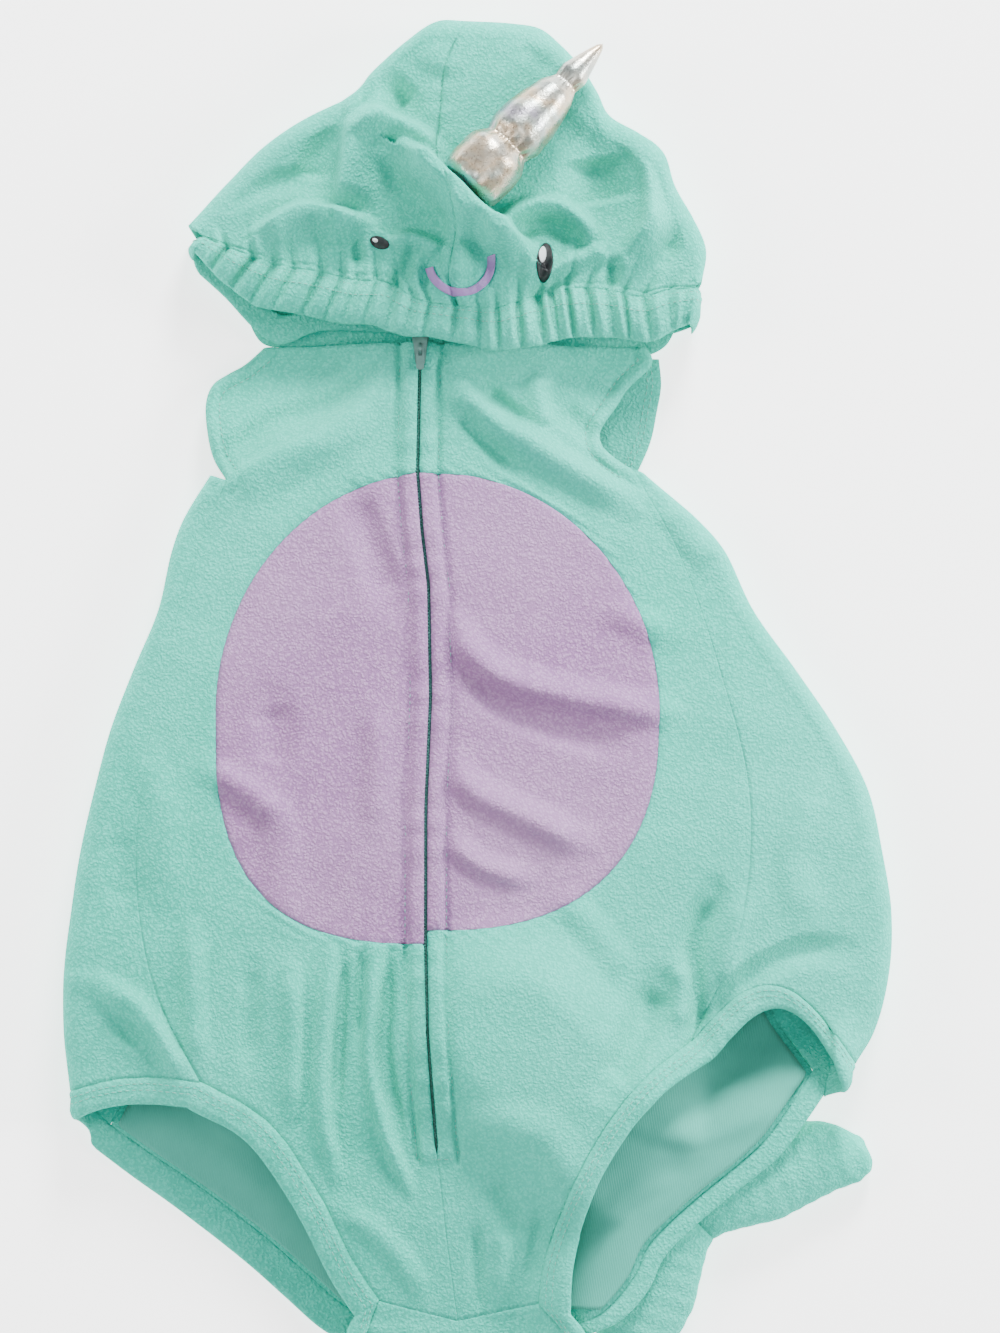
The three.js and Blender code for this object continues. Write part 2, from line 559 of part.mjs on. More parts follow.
/** Turned band around an opening: loop stations with outward directions, and a width table. */
function band(stations, table, gathers = 0) {
  const sections = stations.map(({ p, n, upper, share, fit, slack = 0 }) => {
    const width = tableAt(table, 'share', 'width', share);
    const heading = radians(tableAt(table, 'share', 'heading', share));
    const end = [p.x + width * Math.cos(heading), p.y + width * Math.sin(heading)];
    const along = new THREE.Vector3(end[0] - p.x, end[1] - p.y, fit(p, end, upper));
    const out = n.clone().addScaledVector(along, -n.dot(along) / along.lengthSq()).normalize();
    const clear = (SEAM_GAP / 2 + slack) / along.length();
    const start = p.clone().addScaledVector(along, clear);
    const wave = gathers ? GATHERS.depth * Math.cos(2 * Math.PI * gathers * share) : 0;
    return BAND_SECTION.map(({ along: a, out: o }) => {
      const swing = wave * Math.sin(Math.PI * Math.min(1, 0.25 + a * 0.75)) * (a > 0 ? 1 : 0.25);
      return start.clone().addScaledVector(along, a * (1 - clear))
        .addScaledVector(a > 0 ? out : n, (o > 0 ? o * upper : o) + swing * upper);
    });
  });
  return loft(sections, true);
}

function legBand(side) {
  const front = legStations(side).reverse().map((point) => ({ ...onTop(point), upper: 1 }));
  const sideRow = sideGrid(side)[ROWS.seam].map((station) => ({ ...station, slack: 0.7 }));
  const back = spaced(SIDES[side].backLeg, ROWS.leg).map((point) => ({ ...onBottom(point), upper: 0 }));
  const crotch = crotchGrid();
  const turn = crotch[side === 'right' ? 0 : crotch.length - 1].slice(1, -1).reverse();
  const loop = [...front, ...sideRow.slice(1, -1), ...back, ...turn];
  return band(loop.map((station, k) => ({
    ...station,
    share: k / loop.length,
    fit: (p, end, upper) => upper * (bodyTop(...end) - bodyTop(p.x, p.y))
      + (1 - upper) * (underside(...end) - underside(p.x, p.y)),
  })), LEG_BANDS[side]);
}

// zip

function zipTape() {
  const count = 36;
  const grid = Array.from({ length: count + 1 }, (_, k) => {
    const y = mix(ZIP_TOP + 0.5, ZIP_END - 6, k / count);
    return [-1, -0.34, 0.34, 1].map((across) => {
      const x = zipX(y) + across * TAPE_HALF;
      return { p: new THREE.Vector3(x, y, bodyTop(x, y) - WALL - TAPE_DROP), n: UP };
    });
  });
  return sheet(grid, 1.0, []);
}

/** Highest point of the given meshes over a plan point. */
function surfaceAt(meshes, x, y) {
  let best = -Infinity;
  for (const mesh of meshes) {
    const position = mesh.geometry.getAttribute('position');
    const index = mesh.geometry.getIndex();
    for (let f = 0; f < index.count; f += 3) {
      const [a, b, c] = [0, 1, 2].map((k) => new THREE.Vector3().fromBufferAttribute(position, index.getX(f + k)));
      const area = (b.x - a.x) * (c.y - a.y) - (c.x - a.x) * (b.y - a.y);
      if (area > 1e-6) {
        const u = ((b.x - x) * (c.y - y) - (c.x - x) * (b.y - y)) / area;
        const v = ((c.x - x) * (a.y - y) - (a.x - x) * (c.y - y)) / area;
        if (u >= -1e-6 && v >= -1e-6 && u + v <= 1 + 1e-6) best = Math.max(best, u * a.z + v * b.z + (1 - u - v) * c.z);
      }
    }
  }
  return best;
}

const wasm = await Module();
wasm.setup();

function toManifold(geometry) {
  const position = geometry.getAttribute('position');
  const keys = new Map();
  const vertices = [];
  const ids = Array.from({ length: position.count }, (_, k) => {
    const point = [position.getX(k), position.getY(k), position.getZ(k)];
    const key = point.map((v) => v.toFixed(5)).join(',');
    if (!keys.has(key)) { keys.set(key, vertices.length / 3); vertices.push(...point); }
    return keys.get(key);
  });
  const index = geometry.getIndex();
  const corners = index ? Array.from(index.array, (k) => ids[k]) : ids;
  return new wasm.Manifold(new wasm.Mesh({
    numProp: 3, vertProperties: new Float32Array(vertices), triVerts: new Uint32Array(corners),
  }));
}

function fromManifold(solid) {
  const mesh = solid.getMesh();
  const geometry = new THREE.BufferGeometry();
  geometry.setAttribute('position', new THREE.Float32BufferAttribute(Array.from(mesh.vertProperties), 3));
  geometry.setIndex(Array.from(mesh.triVerts));
  geometry.computeVertexNormals();
  return geometry;
}

/** Slider: a tapering T-shaped body astride the slit, with the bail that holds the tab. */
function sliderGeometry() {
  const half = SLIDER.width / 2;
  const stem = SLIDER.stem / 2;
  const section = new THREE.Shape([
    [-half, 0.1], [-half + 0.5, SLIDER.plate], [half - 0.5, SLIDER.plate], [half, 0.1], [half - 0.4, 0],
    [stem, 0], [stem, -SLIDER.stemDepth], [-stem, -SLIDER.stemDepth], [-stem, 0], [-half + 0.4, 0],
  ].map(([x, z]) => new THREE.Vector2(x, z)));
  const body = new THREE.ExtrudeGeometry(section, { depth: SLIDER.length, steps: 4, bevelEnabled: false });
  body.rotateX(Math.PI / 2);
  body.translate(0, SLIDER.length, 0);
  const position = body.getAttribute('position');
  for (let k = 0; k < position.count; k += 1) {
    const taper = Math.abs(position.getX(k)) > stem + 0.01
      ? mix(1, SLIDER.endWidth / SLIDER.width, 1 - position.getY(k) / SLIDER.length) : 1;
    position.setX(k, position.getX(k) * taper);
  }
  const arch = new THREE.Shape();
  const foot = -0.4 - BAIL.rise;
  arch.moveTo(-BAIL.outer, foot);
  arch.lineTo(-BAIL.outer, 0);
  arch.absarc(0, 0, BAIL.outer, Math.PI, 0, true);
  arch.lineTo(BAIL.outer, foot);
  arch.lineTo(BAIL.inner, foot);
  arch.lineTo(BAIL.inner, 0);
  arch.absarc(0, 0, BAIL.inner, 0, Math.PI, false);
  arch.lineTo(-BAIL.inner, foot);
  const bail = new THREE.ExtrudeGeometry(arch, { depth: BAIL.width, bevelEnabled: false, curveSegments: 8 });
  bail.translate(0, 0, -BAIL.width / 2);
  bail.rotateX(Math.PI / 2);
  bail.rotateZ(Math.PI / 2);
  bail.translate(0, TAB.pivotY - SLIDER.y, SLIDER.plate + BAIL.rise);
  return fromManifold(toManifold(body).add(toManifold(bail)));
}

/** Tab: a rounded plate with a slot for the bail; its hinge line is the bar beyond the slot. */
function tabGeometry() {
  const half = TAB.width / 2;
  const outline = new THREE.Shape();
  outline.moveTo(-half, 0.6);
  outline.lineTo(-half, -TAB.length + 1.4);
  outline.quadraticCurveTo(-half, -TAB.length, 0, -TAB.length);
  outline.quadraticCurveTo(half, -TAB.length, half, -TAB.length + 1.4);
  outline.lineTo(half, 0.6);
  const [near, far] = TAB.slot;
  const hole = new THREE.Path();
  hole.moveTo(-TAB.slotWidth / 2, -near);
  hole.lineTo(TAB.slotWidth / 2, -near);
  hole.lineTo(TAB.slotWidth / 2, -far);
  hole.lineTo(-TAB.slotWidth / 2, -far);
  outline.holes.push(hole);
  const plate = new THREE.ExtrudeGeometry(outline, { depth: TAB.thick, bevelEnabled: false, curveSegments: 5 });
  plate.translate(0, 0, -TAB.thick / 2);
  return plate;
}

// hood

const HOOD_ROWS = 13;
const HOOD_RUNS = { top: 10, round: 6, under: 4 };

function hoodGrid(side) {
  const casing = spaced(HOOD[side].casing, HOOD_ROWS);
  const edge = spaced(HOOD[side].outline, HOOD_ROWS);
  const neck = spaced(HOOD[side].neck, HOOD_ROWS);
  const centre = spaced(HOOD.centreSeam, 20);
  return casing.map((point, r) => {
    const row = wrapRow(point, edge[r], neck[r], {
      topHeight: hoodTop, underHeight: () => 0, radius: 11, runs: HOOD_RUNS,
    });
    const bend = 1 - smooth(r / 5);
    for (let k = 1; k < HOOD_RUNS.top; k += 1) {
      const { p } = row[k];
      const seamX = tableAt(centre.map(([x, y]) => ({ x, y })), 'y', 'x', p.y);
      const straightX = mix(casing[0][0], edge[0][0], (p.y - casing[0][1]) / (edge[0][1] - casing[0][1]));
      p.x += (seamX - straightX) * bend;
      p.z = hoodTop(p.x, p.y);
    }
    return row;
  });
}

function casingBand() {
  const stations = [];
  const hoodLine = [...spaced(HOOD.right.casing, HOOD_ROWS).reverse(),
    ...spaced(HOOD.left.casing, HOOD_ROWS).slice(1)];
  const upper = [hoodLine[0]];
  for (let k = 1; k < hoodLine.length; k += 1) {
    for (let m = 1; m <= GATHERS.split; m += 1) upper.push(mixPoint(hoodLine[k - 1], hoodLine[k], m / GATHERS.split));
  }
  const level = (x, y) => Math.max(22.5, hoodTop(x, y));
  upper.forEach(([x, y], k) => stations.push({
    p: new THREE.Vector3(x, y, hoodTop(x, y)), n: UP, upper: 1, share: k / (upper.length - 1),
    fit: (p, end) => level(...end) - p.z - 1.5,
  }));
  const lower = spaced(CASING_LOWER.seam, GATHERS.lower);
  const cornerTurn = (upperEnd, lowerEnd, away, share, downward) => {
    for (let k = 1; k < GATHERS.corner; k += 1) {
      const angle = Math.PI * (downward ? k : GATHERS.corner - k) / GATHERS.corner;
      const upperShare = (1 + Math.cos(angle)) / 2;
      const point = mixPoint(lowerEnd, upperEnd, upperShare);
      const z = mix(GATHERS.lowerZ, hoodTop(...upperEnd), upperShare);
      const n = new THREE.Vector3(...away, 0).multiplyScalar(Math.sin(angle)).setZ(Math.cos(angle)).normalize();
      stations.push({
        p: new THREE.Vector3(point[0] + away[0] * 3 * Math.sin(angle), point[1] + away[1] * 3 * Math.sin(angle), z),
        n, upper: upperShare, share, fit: () => 0,
      });
    }
  };
  cornerTurn(upper[upper.length - 1], lower[0], [1, 0.1], 1, true);
  lower.forEach(([x, y]) => stations.push({
    p: new THREE.Vector3(x, y, GATHERS.lowerZ), n: DOWN, upper: 0, share: 2, fit: () => 0,
  }));
  const table = [...CASING_UPPER, { share: 2, width: CASING_LOWER.width, heading: CASING_LOWER.heading }];
  cornerTurn(upper[0], lower[lower.length - 1], [-1, 0.3], 0, false);
  return band(stations, table, GATHERS.count);
}

function hornGeometry() {
  const geometry = new THREE.LatheGeometry(
    HORN.profile.map(({ at, radius }) => new THREE.Vector2(radius, at)), HORN.sides);
  return geometry;
}

/** Thin patch over a surface: rings of an ellipse, or a bent stroke. */
function facePatch(ring, rings, centre, surface) {
  const points = [];
  const faces = [];
  const layer = (lift) => {
    const start = points.length;
    points.push(new THREE.Vector3(centre[0], centre[1], surface(...centre) + lift));
    for (let r = 1; r <= rings; r += 1) {
      for (const [x, y] of ring) {
        const [px, py] = mixPoint(centre, [x, y], r / rings);
        points.push(new THREE.Vector3(px, py, surface(px, py) + lift));
      }
    }
    return start;
  };
  const size = ring.length;
  const low = layer(PATCH.lift);
  const high = layer(PATCH.lift + PATCH.rise);
  for (const [start, flip] of [[high, false], [low, true]]) {
    for (let k = 0; k < size; k += 1) {
      const m = (k + 1) % size;
      const at = (r, i) => (r === 0 ? start : start + 1 + (r - 1) * size + i);
      const add = (a, b, c) => faces.push(flip ? [a, c, b] : [a, b, c]);
      add(at(0, 0), at(1, k), at(1, m));
      for (let r = 1; r < rings; r += 1) {
        add(at(r, k), at(r + 1, k), at(r + 1, m));
        add(at(r, k), at(r + 1, m), at(r, m));
      }
    }
  }
  const rim = 1 + (rings - 1) * size;
  for (let k = 0; k < size; k += 1) {
    const m = (k + 1) % size;
    faces.push([low + rim + k, low + rim + m, high + rim + m], [low + rim + k, high + rim + m, high + rim + k]);
  }
  return finish(points, faces);
}

function eyeGeometry({ at, width, height, tilt }, surface) {
  const ring = Array.from({ length: 18 }, (_, k) => {
    const angle = (2 * Math.PI * k) / 18;
    const x = (width / 2) * Math.cos(angle);
    const y = (height / 2) * Math.sin(angle);
    const turn = radians(tilt);
    return [at[0] + x * Math.cos(turn) - y * Math.sin(turn), at[1] + x * Math.sin(turn) + y * Math.cos(turn)];
  });
  return facePatch(ring, 3, at, surface);
}

function smileGeometry(surface) {
  const count = 22;
  const grid = Array.from({ length: count + 1 }, (_, k) => {
    const angle = radians(mix(SMILE.from, SMILE.to, k / count));
    return [-0.5, 0, 0.5].map((across) => {
      const radius = SMILE.radius + across * SMILE.stroke;
      const x = SMILE.at[0] + radius * Math.cos(angle);
      const y = SMILE.at[1] + radius * Math.sin(angle);
      return { p: new THREE.Vector3(x, y, surface(x, y) + PATCH.lift + PATCH.rise), n: UP };
    });
  });
  return sheet(grid, PATCH.rise, []);
}

// tail

/** Cross-section of a stuffed part lying on the surface: flat below, rounded above. */
function pillowLoop(place, from, to, height, flat) {
  const count = 14;
  return Array.from({ length: count }, (_, k) => {
    const angle = (2 * Math.PI * k) / count;
    const across = Math.sign(Math.cos(angle)) * Math.abs(Math.cos(angle)) ** 0.8;
    const rise = Math.sin(angle) >= 0 ? Math.sin(angle) ** 0.85 : -(Math.abs(Math.sin(angle)) ** flat);
    return place(mix(from, to, (1 + across) / 2), height * (0.5 + rise / 2));
  });
}

function flukeGeometry(sign) {
  const sections = TAIL.lobe.map(({ across, lead, trail, height }) => pillowLoop(
    (a, z) => new THREE.Vector3(a, sign * across, z), lead, trail, height, 0.5));
  return loft(sections);
}

function stemGeometry() {
  const { from, to, halfWidth, height } = TAIL.stem;
  const shares = [0, 0.04, 0.12, 0.3, 0.5, 0.7, 0.9, 1];
  const sections = shares.map((share) => {
    const end = Math.sqrt(Math.max(0.08, 1 - ((0.16 - Math.min(share, 0.16)) / 0.17) ** 2));
    return pillowLoop((c, z) => new THREE.Vector3(mix(from, to, share), c, z),
      -halfWidth * end, halfWidth * end, height * mix(0.6, 1, end), 0.5);
  });
  return loft(sections);
}

// scene graph

const cloth = (color, roughness = 0.95) => new THREE.MeshStandardMaterial({ color, roughness, metalness: 0 });

function piece(name, geometry, material) {
  const mesh = new THREE.Mesh(geometry, material);
  mesh.name = name;
  return mesh;
}

const body = new THREE.Group();
for (const side of ['right', 'left']) {
  body.add(piece(`front_panel_${side}`, frontPanel(side), cloth(AQUA)));
  body.add(piece(`belly_panel_${side}`, bellyPanel(side), cloth(LILAC)));
  body.add(piece(`side_panel_${side}`, sheet(sideGrid(side), WALL), cloth(AQUA)));
  body.add(piece(`leg_band_${side}`, legBand(side), cloth(AQUA)));
}
body.add(piece('back_panel', sheet(backGrid(), WALL), cloth(AQUA)));
body.add(piece('back_lining', backLining(), cloth('#86d2c0', 0.9)));
body.add(piece('crotch_band', sheet(crotchGrid(), WALL), cloth(AQUA)));

const zip = new THREE.Group();
zip.add(piece('zip_tape', zipTape(), cloth('#6fb7ab', 0.8)));
const fronts = body.children.filter((mesh) => mesh.name.startsWith('front_panel'));
let sliderZ = 0;
for (const dx of [-4, 0, 4]) {
  for (const dy of [0, 4, 8, 12]) {
    sliderZ = Math.max(sliderZ, surfaceAt(fronts, zipX(SLIDER.y + dy) + dx + 0.95 * (dx === 0), SLIDER.y + dy));
  }
}
const slider = piece('zip_slider', sliderGeometry(), cloth('#7fb9ae', 0.45));
slider.position.set(zipX(TAB.pivotY), SLIDER.y, sliderZ + 0.4);
zip.add(slider);
const tab = piece('zip_pull_tab', tabGeometry(), cloth('#7fb9ae', 0.45));
tab.position.set(zipX(TAB.pivotY), TAB.pivotY, sliderZ + 0.4 + SLIDER.plate + BAIL.rise);
zip.add(tab);

const hood = new THREE.Group();
const hoodMeshes = ['right', 'left'].map((side) => piece(`hood_panel_${side}`,
  sheet(hoodGrid(side), WALL), cloth(AQUA)));
hood.add(...hoodMeshes);
hood.add(piece('hood_casing', casingBand(), cloth(AQUA)));
const hoodSurface = (x, y) => Math.max(...[-0.6, 0, 0.6].map((dx) => surfaceAt(hoodMeshes, x + dx, y)));
hood.add(piece('eye_right', eyeGeometry(EYES.right, hoodSurface), cloth('#15171c', 0.5)));
hood.add(piece('eye_left', eyeGeometry(EYES.left, hoodSurface), cloth('#15171c', 0.5)));
hood.add(piece('smile', smileGeometry(hoodSurface), cloth('#b894cf', 0.5)));
const horn = piece('horn', hornGeometry(), new THREE.MeshStandardMaterial({
  color: '#cfcfc6', roughness: 0.35, metalness: 0.7 }));
horn.position.copy(hornAxis.start);
horn.quaternion.setFromUnitVectors(new THREE.Vector3(0, 1, 0),
  hornAxis.end.clone().sub(hornAxis.start).normalize());
hood.add(horn);

const tail = new THREE.Group();
tail.position.set(TAIL.notch[0], TAIL.notch[1], 0);
tail.rotation.z = radians(TAIL.turn);
tail.add(piece('tail_stem', stemGeometry(), cloth(AQUA)));
tail.add(piece('tail_fluke_upper', flukeGeometry(1), cloth(AQUA)));
tail.add(piece('tail_fluke_lower', flukeGeometry(-1), cloth(AQUA)));

const garment = new THREE.Group();
garment.add(body, zip, hood, tail);
garment.updateMatrixWorld(true);
const bounds = new THREE.Box3().setFromObject(garment, true);
const middle = bounds.getCenter(new THREE.Vector3());
garment.position.set(-middle.x, -middle.y, -bounds.min.z);

const costume = new THREE.Group();
costume.add(garment);

export default costume;
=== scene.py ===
import bpy
import bmesh
import math
import numpy as np
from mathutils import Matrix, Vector
from mathutils.bvhtree import BVHTree


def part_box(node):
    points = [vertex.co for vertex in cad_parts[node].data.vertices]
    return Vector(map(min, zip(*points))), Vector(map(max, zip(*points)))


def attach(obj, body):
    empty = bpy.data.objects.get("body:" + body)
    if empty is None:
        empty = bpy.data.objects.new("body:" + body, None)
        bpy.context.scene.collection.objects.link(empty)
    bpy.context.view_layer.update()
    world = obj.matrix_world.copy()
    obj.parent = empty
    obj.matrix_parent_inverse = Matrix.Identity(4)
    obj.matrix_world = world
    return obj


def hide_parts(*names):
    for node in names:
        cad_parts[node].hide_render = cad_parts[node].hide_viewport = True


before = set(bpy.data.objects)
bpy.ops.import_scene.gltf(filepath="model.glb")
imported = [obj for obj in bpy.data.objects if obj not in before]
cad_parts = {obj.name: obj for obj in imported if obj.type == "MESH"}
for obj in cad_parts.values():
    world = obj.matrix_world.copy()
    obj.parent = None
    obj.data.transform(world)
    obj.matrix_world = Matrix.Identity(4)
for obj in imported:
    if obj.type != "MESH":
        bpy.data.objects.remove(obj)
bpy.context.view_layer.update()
mm = 0.001

# The plan is drawn in millimetres from a point near the zip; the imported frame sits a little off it.
low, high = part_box("zip_tape")
planShift = Vector(((low.x + high.x) / 2 + 0.02205, (low.y + high.y) / 2 + 0.02125, 0.00007))

cloth = {"wall": 2.0, "bandWall": 3.0, "liningWall": 1.2, "patchWall": 0.9, "tapeWall": 0.8, "edgeRoll": 2.6,
         "edgeDrop": 0.9, "topFrom": 12}


# Helpers for lines and heights on the plan.

def smooth(value):
    t = np.clip(value, 0, 1)
    return t * t * (3 - 2 * t)


def mix(a, b, t):
    return a + (b - a) * t


def bell(gap, width):  # 1 on a line, close to 0 beyond twice the width
    return np.exp(-(gap / width) ** 2)


def runAlong(path):  # the length from the start to each point
    return np.concatenate([[0], np.cumsum(np.linalg.norm(np.diff(path, axis=0), axis=1))])


def between(values, at, keys=None):  # numbers, or rows of them, between their keys
    keys = np.arange(len(values)) if keys is None else keys
    if values.ndim == 1:
        return np.interp(at, keys, values)
    return np.stack([np.interp(at, keys, column) for column in values.T], 1)


def spaced(points, count):  # evenly spaced points on a centripetal curve through the given ones
    p = np.array(points, float)
    p = np.vstack([2 * p[0] - p[1], p, 2 * p[-1] - p[-2]])
    out = []
    for a, b, c, d in zip(p, p[1:], p[2:], p[3:]):
        t1, t2, t3 = np.cumsum([np.linalg.norm(far - near) ** 0.5 for near, far in ((a, b), (b, c), (c, d))])
        t = np.linspace(t1, t2, 25)[:-1, None]
        a1, a2, a3 = mix(a, b, t / t1), mix(b, c, (t - t1) / (t2 - t1)), mix(c, d, (t - t2) / (t3 - t2))
        b1, b2 = mix(a1, a2, t / t2), mix(a2, a3, (t - t1) / (t3 - t1))
        out.append(mix(b1, b2, (t - t1) / (t2 - t1)))
    out = np.vstack(out + [p[-2:-1]])
    run = runAlong(out)
    return between(out, np.linspace(0, run[-1], count + 1), run)


def lineAt(line, share):  # point at a share 0..1 of an evenly spaced line
    return between(line, np.clip(share, 0, 1) * (len(line) - 1))


def pathDistance(x, y, path):  # distance to a path, which side (left of travel is positive), and share along it
    best = np.full(x.shape, 1e9)
    side = np.zeros(x.shape)
    along = np.zeros(x.shape)
    for k in range(len(path) - 1):
        ax, ay = path[k]
        dx, dy = path[k + 1][0] - ax, path[k + 1][1] - ay
        t = np.clip(((x - ax) * dx + (y - ay) * dy) / (dx * dx + dy * dy), 0, 1)
        gap = np.hypot(x - ax - t * dx, y - ay - t * dy)
        near = gap < best
        best = np.where(near, gap, best)
        side = np.where(near, np.sign(dx * (y - ay) - dy * (x - ax)), side)
        along = np.where(near, (k + t) / (len(path) - 1), along)
    return best, side, along


def foldHeights(folds, x, y, strength=1.0):
    z = np.zeros(x.shape)
    for ridge in folds:
        path = np.array(ridge["path"], float)
        if len(path) > 2:
            path = spaced(path, 4 * (len(path) - 1))
        reach = max(ridge["left"], ridge["right"])
        lowX, lowY = path.min(0) - reach
        highX, highY = path.max(0) + reach
        inside = (x > lowX) & (x < highX) & (y > lowY) & (y < highY)
        if not inside.any():
            continue
        gap, side, along = pathDistance(x[inside], y[inside], path)
        width = np.where(side > 0, ridge["left"], ridge["right"])
        taper = 0.35 + 0.65 * smooth(np.minimum(along, 1 - along) * 5 + 0.1)
        z[inside] += strength * ridge["rise"] * taper * (1 - np.clip(gap / width, 0, 1) ** 2) ** 2
    return z


def ripple(x, y, size, seed):  # soft unevenness of laid cloth
    z = np.zeros(x.shape)
    for k in range(5):
        turn = seed + k * 1.9
        wave = size * (0.75 + 0.17 * k)
        z += np.sin((x * math.cos(turn) + y * math.sin(turn)) * 2 * math.pi / wave + seed * 3 + k * 2.3) / 5
    return z


# The laid costume: lines and tables in millimetres.

zipLine = {"y": [163, 103, 77, 52, 2, -48, -107, -148, -200, -237, -275],
           "x": [-26, -27, -25, -22, -21, -23, -23, -22, -18, -14, -9]}
zipPlan = {"top": 163, "end": -200, "slit": 0.75, "topstitch": 9.2, "tapeHalf": 7.5, "tapeDrop": 1.5, "pitch": 1.5}
belly = {
    "x": -19, "y": -4, "rise": 107,
    "right": {"reach": 98, "drop": 104, "round": 2.9, "span": (12, 172)},
    "left": {"reach": 100, "drop": 98, "round": 2.5, "span": (7, 174)},
}
rowShare = {"zip": 5, "arc": 18, "centre": 11, "armhole": 6, "seam": 18, "leg": 10}

sides = {
    "right": {
        "sign": -1,
        "armhole": [(-97, 162), (-106, 154), (-113, 150), (-120, 145), (-123, 137), (-122, 122), (-119, 110),
                    (-113, 100)],
        "seam": [(-113, 100), (-127, 65), (-139, 24), (-148, -25), (-152, -79), (-143, -129), (-123, -169)],
        "leg": [(-123, -169), (-94, -186), (-72, -216), (-54, -251), (-44, -266)],
        "outline": [(-121, 103), (-133, 83), (-138, 69), (-144, 42), (-155, 15), (-165, -12), (-172, -39), (-178, -66),
                    (-182, -93), (-185, -120), (-185, -147), (-182, -173)],
        "under": [(-110, 101), (-105, 60), (-112, 0), (-125, -60), (-135, -110), (-150, -160), (-165, -189)],
        "backArmhole": [(-97, 162), (-104, 152), (-112, 140), (-114, 120), (-110, 101)],
        "backLeg": [(-165, -189), (-148, -201), (-130, -213), (-112, -226), (-93, -241), (-77, -255), (-62, -268),
                    (-50, -275)],
        "endArch": 4,
        "band": {"share": [0, 0.08, 0.17, 0.28, 0.38, 0.50, 0.58, 0.70, 0.85, 0.93, 1],
                 "width": [13, 12.5, 13, 13, 12, 14, 12, 13.6, 14, 8, 13],
                 "heading": [212, 209, 212, 247, 268, 280, 240, 236, 231, 188, 212]},
    },
    "left": {
        "sign": 1,
        "armhole": [(77, 162), (79, 155), (68, 143), (63, 135), (55, 122), (56, 116), (62, 110), (70, 105)],
        "seam": [(70, 105), (91, 65), (109, 11), (121, -43), (116, -102), (95, -151)],
        "leg": [(95, -151), (72, -169), (50, -199), (36, -229), (29, -250), (27, -267)],
        "outline": [(75, 104), (99, 83), (111, 69), (124, 42), (143, 15), (161, -12), (175, -39), (181, -66),
                    (185, -93),
                    (184, -120), (177, -147), (168, -161)],
        "under": [(70, 101), (80, 60), (100, 0), (118, -60), (127, -128), (150, -165)],
        "backArmhole": [(82, 157), (83, 145), (81, 133), (78, 119), (70, 101)],
        "backLeg": [(150, -165), (140, -179), (129, -194), (117, -205), (102, -217), (86, -231), (76, -242),
                    (70, -255),
                    (57, -270), (44, -277)],
        "endArch": 30,
        "band": {"share": [0, 0.08, 0.17, 0.28, 0.38, 0.46, 0.52, 0.60, 0.70, 0.82, 0.93, 1],
                 "width": [14, 10, 10, 12, 11, 14, 13, 10, 8.5, 8, 6, 14],
                 "heading": [-16, -8, -22, -52, -84, -112, -104, -55, -44, -38, -10, -16]},
    },
}
crotch = {"front": [(-44, -266), (-9, -275), (27, -267)], "edge": [(-50, -283), (-6, -286), (42, -284)],
          "back": [(-50, -275), (-3, -276), (44, -277)]}

bodyLoft = {"y": [-275, -230, -180, -120, -60, 0, 60, 120, 165], "rise": [15, 25, 30, 32, 32, 28, 24, 20, 14]}
tailLift = {"rise": 17.6, "reach": 38, "capsules": [
    {"from": (15, -149), "to": (105, -239), "radius": 21},
    {"from": (97, -231), "to": (150, -203), "radius": 24},
    {"from": (97, -231), "to": (72, -268), "radius": 22}]}


def fold(path, rise, left, right=None):
    return {"path": path, "rise": rise, "left": left, "right": left if right is None else right}


